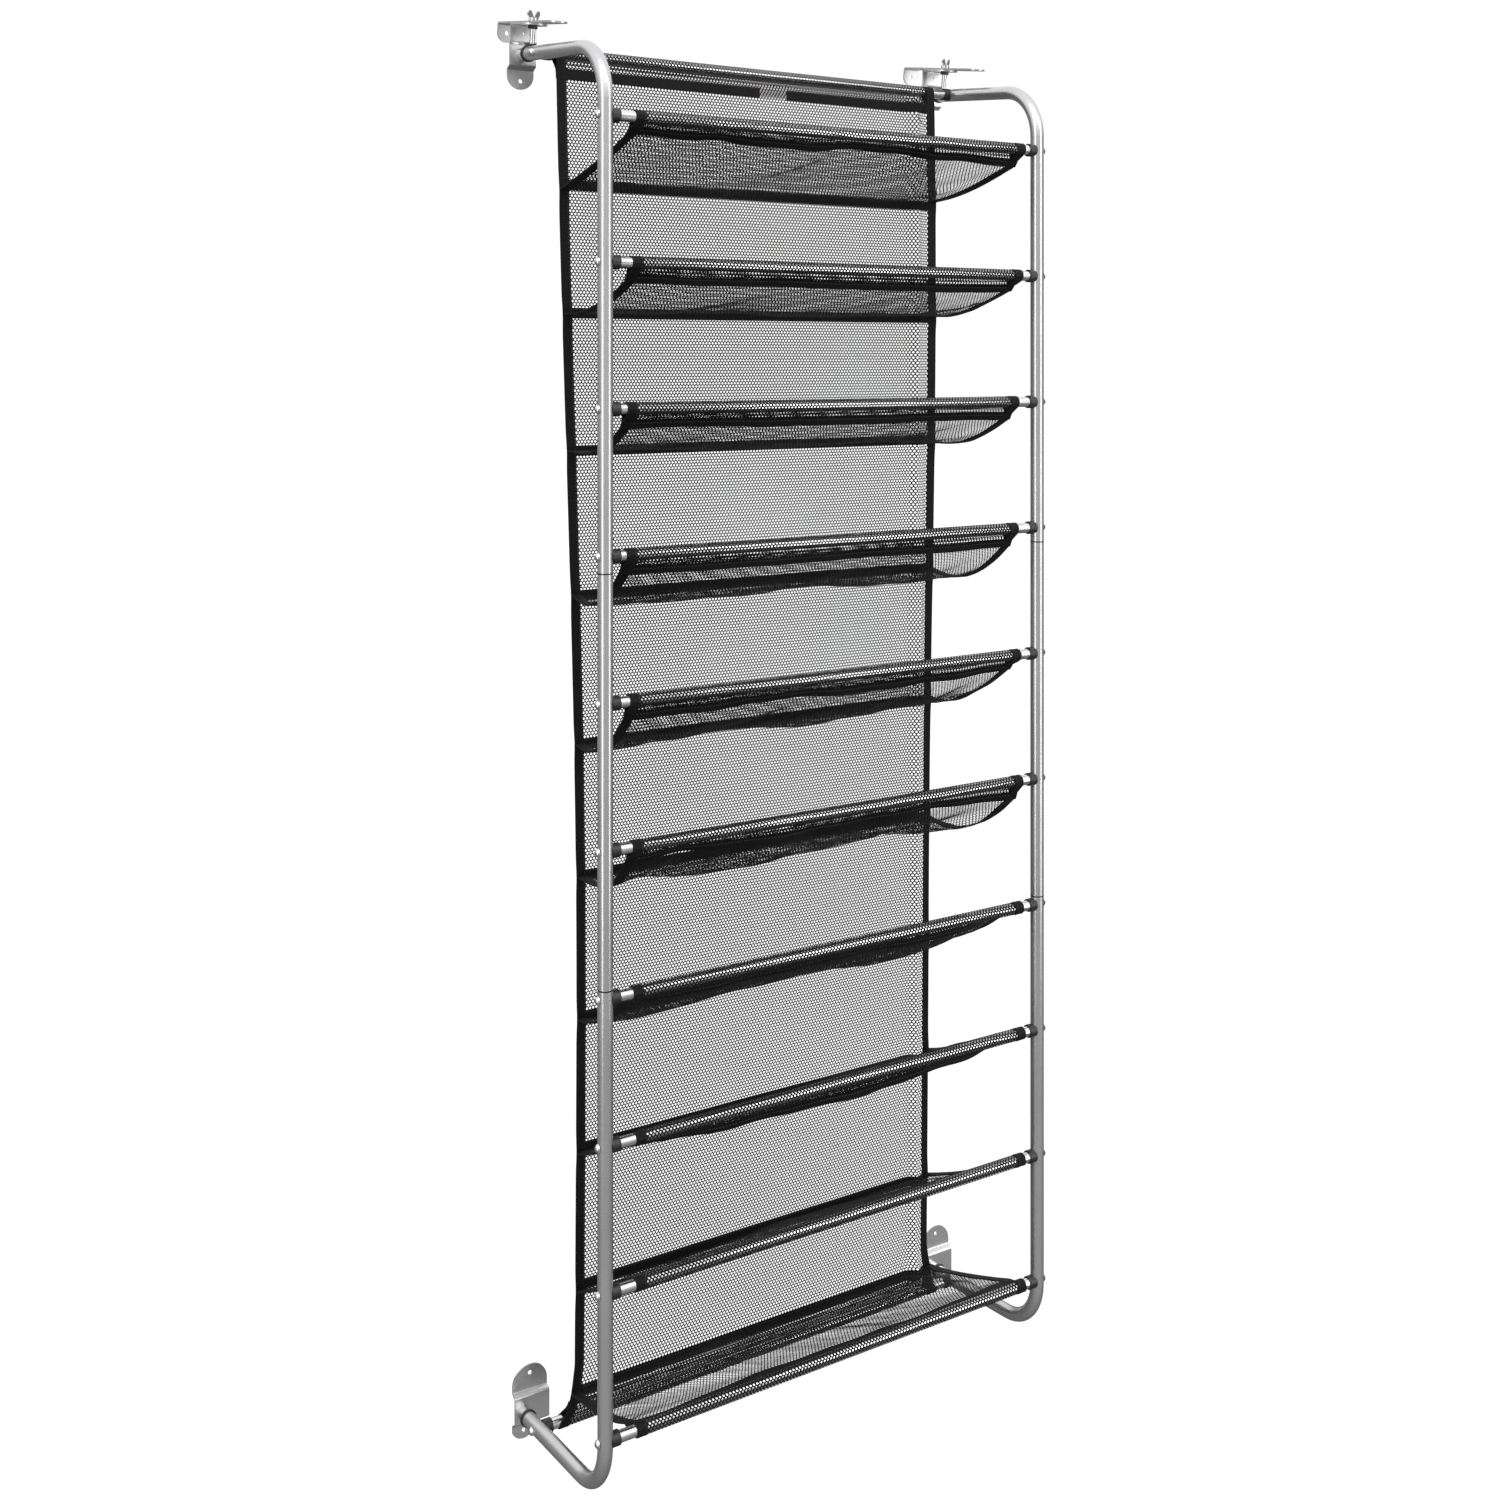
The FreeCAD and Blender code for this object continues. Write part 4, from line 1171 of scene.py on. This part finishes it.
def stitch_tree():
    """A straight row of stitches, laid on the cloth at a height."""
    tree, nodes, given = new_tree("Stitch Row", [
        ("Cloth", "Geometry"), ("Cut Width", "Float"), ("Cut Length", "Float"), ("Middle", "Vector"),
        ("Turn", "Float"), ("Length", "Float"), ("Pitch", "Float"), ("Stitch", "Object"),
        ("Finish", "Material"),
    ])
    count = (given["Length"] / given["Pitch"]).floor()
    first = nodes.add("ShaderNodeCombineXYZ", None, {"X": (count - 1) * given["Pitch"] * -0.5})["Vector"]
    step = nodes.add("ShaderNodeCombineXYZ", None, {"X": given["Pitch"]})["Vector"]
    line = nodes.add("GeometryNodeMeshLine", None,
                     {"Count": count, "Start Location": first, "Offset": step})["Mesh"]
    shape = nodes.add("GeometryNodeObjectInfo", None, {"Object": given["Stitch"]})["Geometry"]
    spread = nodes.add("GeometryNodeInstanceOnPoints", None, {"Points": line, "Instance": shape})["Instances"]
    real = nodes.add("GeometryNodeRealizeInstances", None, {"Geometry": spread})["Geometry"]
    turn = nodes.add("ShaderNodeCombineXYZ", None, {"Z": given["Turn"]})["Vector"]
    moved = nodes.add("GeometryNodeTransform", None, {
        "Geometry": real, "Translation": given["Middle"], "Rotation": turn,
    })["Geometry"]
    laid = lay(nodes, moved, given)
    coated = nodes.add("GeometryNodeSetMaterial", None,
                       {"Geometry": laid, "Material": given["Finish"]})["Geometry"]
    nodes.add("NodeGroupOutput", None, {"Geometry": coated})
    return tree


STITCH, STITCH_TREE = one_stitch(), stitch_tree()


def sew(cloth, name, cut, rows):
    """Rows of stitches on one cloth as one object. A row is (middle, length, turn, height)."""
    made = []
    for middle, length, turn, height in rows:
        made.append(run_tree(STITCH_TREE, cloth, name, {
            "Cut Width": cut[0], "Cut Length": cut[1], "Middle": (*middle, height), "Turn": turn,
            "Length": length, "Pitch": STITCH_PITCH, "Stitch": STITCH, "Finish": THREAD,
        }))
    with bpy.context.temp_override(active_object=made[0], selected_editable_objects=made):
        bpy.ops.object.join()
    made[0].data.attributes.remove(made[0].data.attributes["flat_place"])
    return made[0]


shelf_seams = []
for tier in range(TIERS):
    cut = shelf_cuts[tier]
    rows = [((cut[0] / 2, HEM_TAPE - STITCH_INSET), cut[0] - 2 * tape_width, ALONG,
             TAPE_THICKNESS / 2 + LAYER_GAP)]
    for x in (tape_width - STITCH_INSET, cut[0] - tape_width + STITCH_INSET):
        rows.append(((x, cut[1] / 2), cut[1] - 2 * STITCH_INSET, DOWN, TAPE_THICKNESS / 2))
    shelf_seams.append(sew(shelf_cloths[tier], f"shelf_{tier + 1:02d}_stitches", cut, rows))
rows = []
for tier in range(TIERS):
    run = panel_run_at(float(seam_height(tier, np.zeros(1))[0]))
    for side in (-1, 1):
        place = (panel_cut[0] / 2, run + side * (tape_width / 2 - STITCH_INSET))
        rows.append((place, panel_cut[0] - 2 * tape_width, ALONG, SEAM_THICKNESS / 2))
for x in (tape_width - STITCH_INSET, panel_cut[0] - tape_width + STITCH_INSET):
    rows.append(((x, panel_length / 2), panel_length - 2 * tape_width, DOWN, TAPE_THICKNESS / 2))
for start, end in ((-panel_half, gap_left), (gap_right, panel_half)):
    place = ((start + end) / 2 + panel_half, top_run + top_tape_height / 2 - STITCH_INSET)
    rows.append((place, end - start - 2 * STITCH_INSET, ALONG, SEAM_THICKNESS / 2))
panel_seams = sew(panel_cloth, "panel_stitches", panel_cut, rows)
print("stitches:", sum(triangles(piece) for piece in [panel_seams, *shelf_seams]), "triangles")

# %% [markdown]
# ## Putting it together
#
# Every cloth piece rides on the rack, and the plain CAD solids that the cloth stands for
# are hidden. The hidden cloth surfaces are removed.

def settle(piece, slot):
    """A cloth piece rides on the rack. A piece of the black_mesh slot, a net, is shaded smooth."""
    for polygon in piece.data.polygons:
        polygon.use_smooth = slot == "black_mesh"
    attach(piece, "rack")


for tier in range(TIERS):
    net, tapes = shelf_nets[tier], shelf_tapes[tier]
    settle(net, "black_mesh")
    for piece in tapes:
        settle(piece, "black_tape")
    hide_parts(f"shelf_mesh_{tier + 1:02d}")
    width, length = shelf_cuts[tier]
    THREAD_SHARE * width * length
for k, net in enumerate(panel_nets):
    settle(net, "black_mesh")
    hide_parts("back_panel_mesh")
    length = ends[k + 1] - ends[k] + ROW_PITCH
    THREAD_SHARE * panel_cut[0] * length
for piece in panel_tapes:
    settle(piece, "black_tape")
for piece in [panel_seams, *shelf_seams]:
    settle(piece, "black_tape")
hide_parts("panel_left_tape")
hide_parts("panel_right_tape")
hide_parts("panel_top_tape_left")
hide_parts("panel_top_tape_right")
for helper in [NET_HOLE, STITCH, panel_cloth, *shelf_cloths]:
    bpy.data.objects.remove(helper)
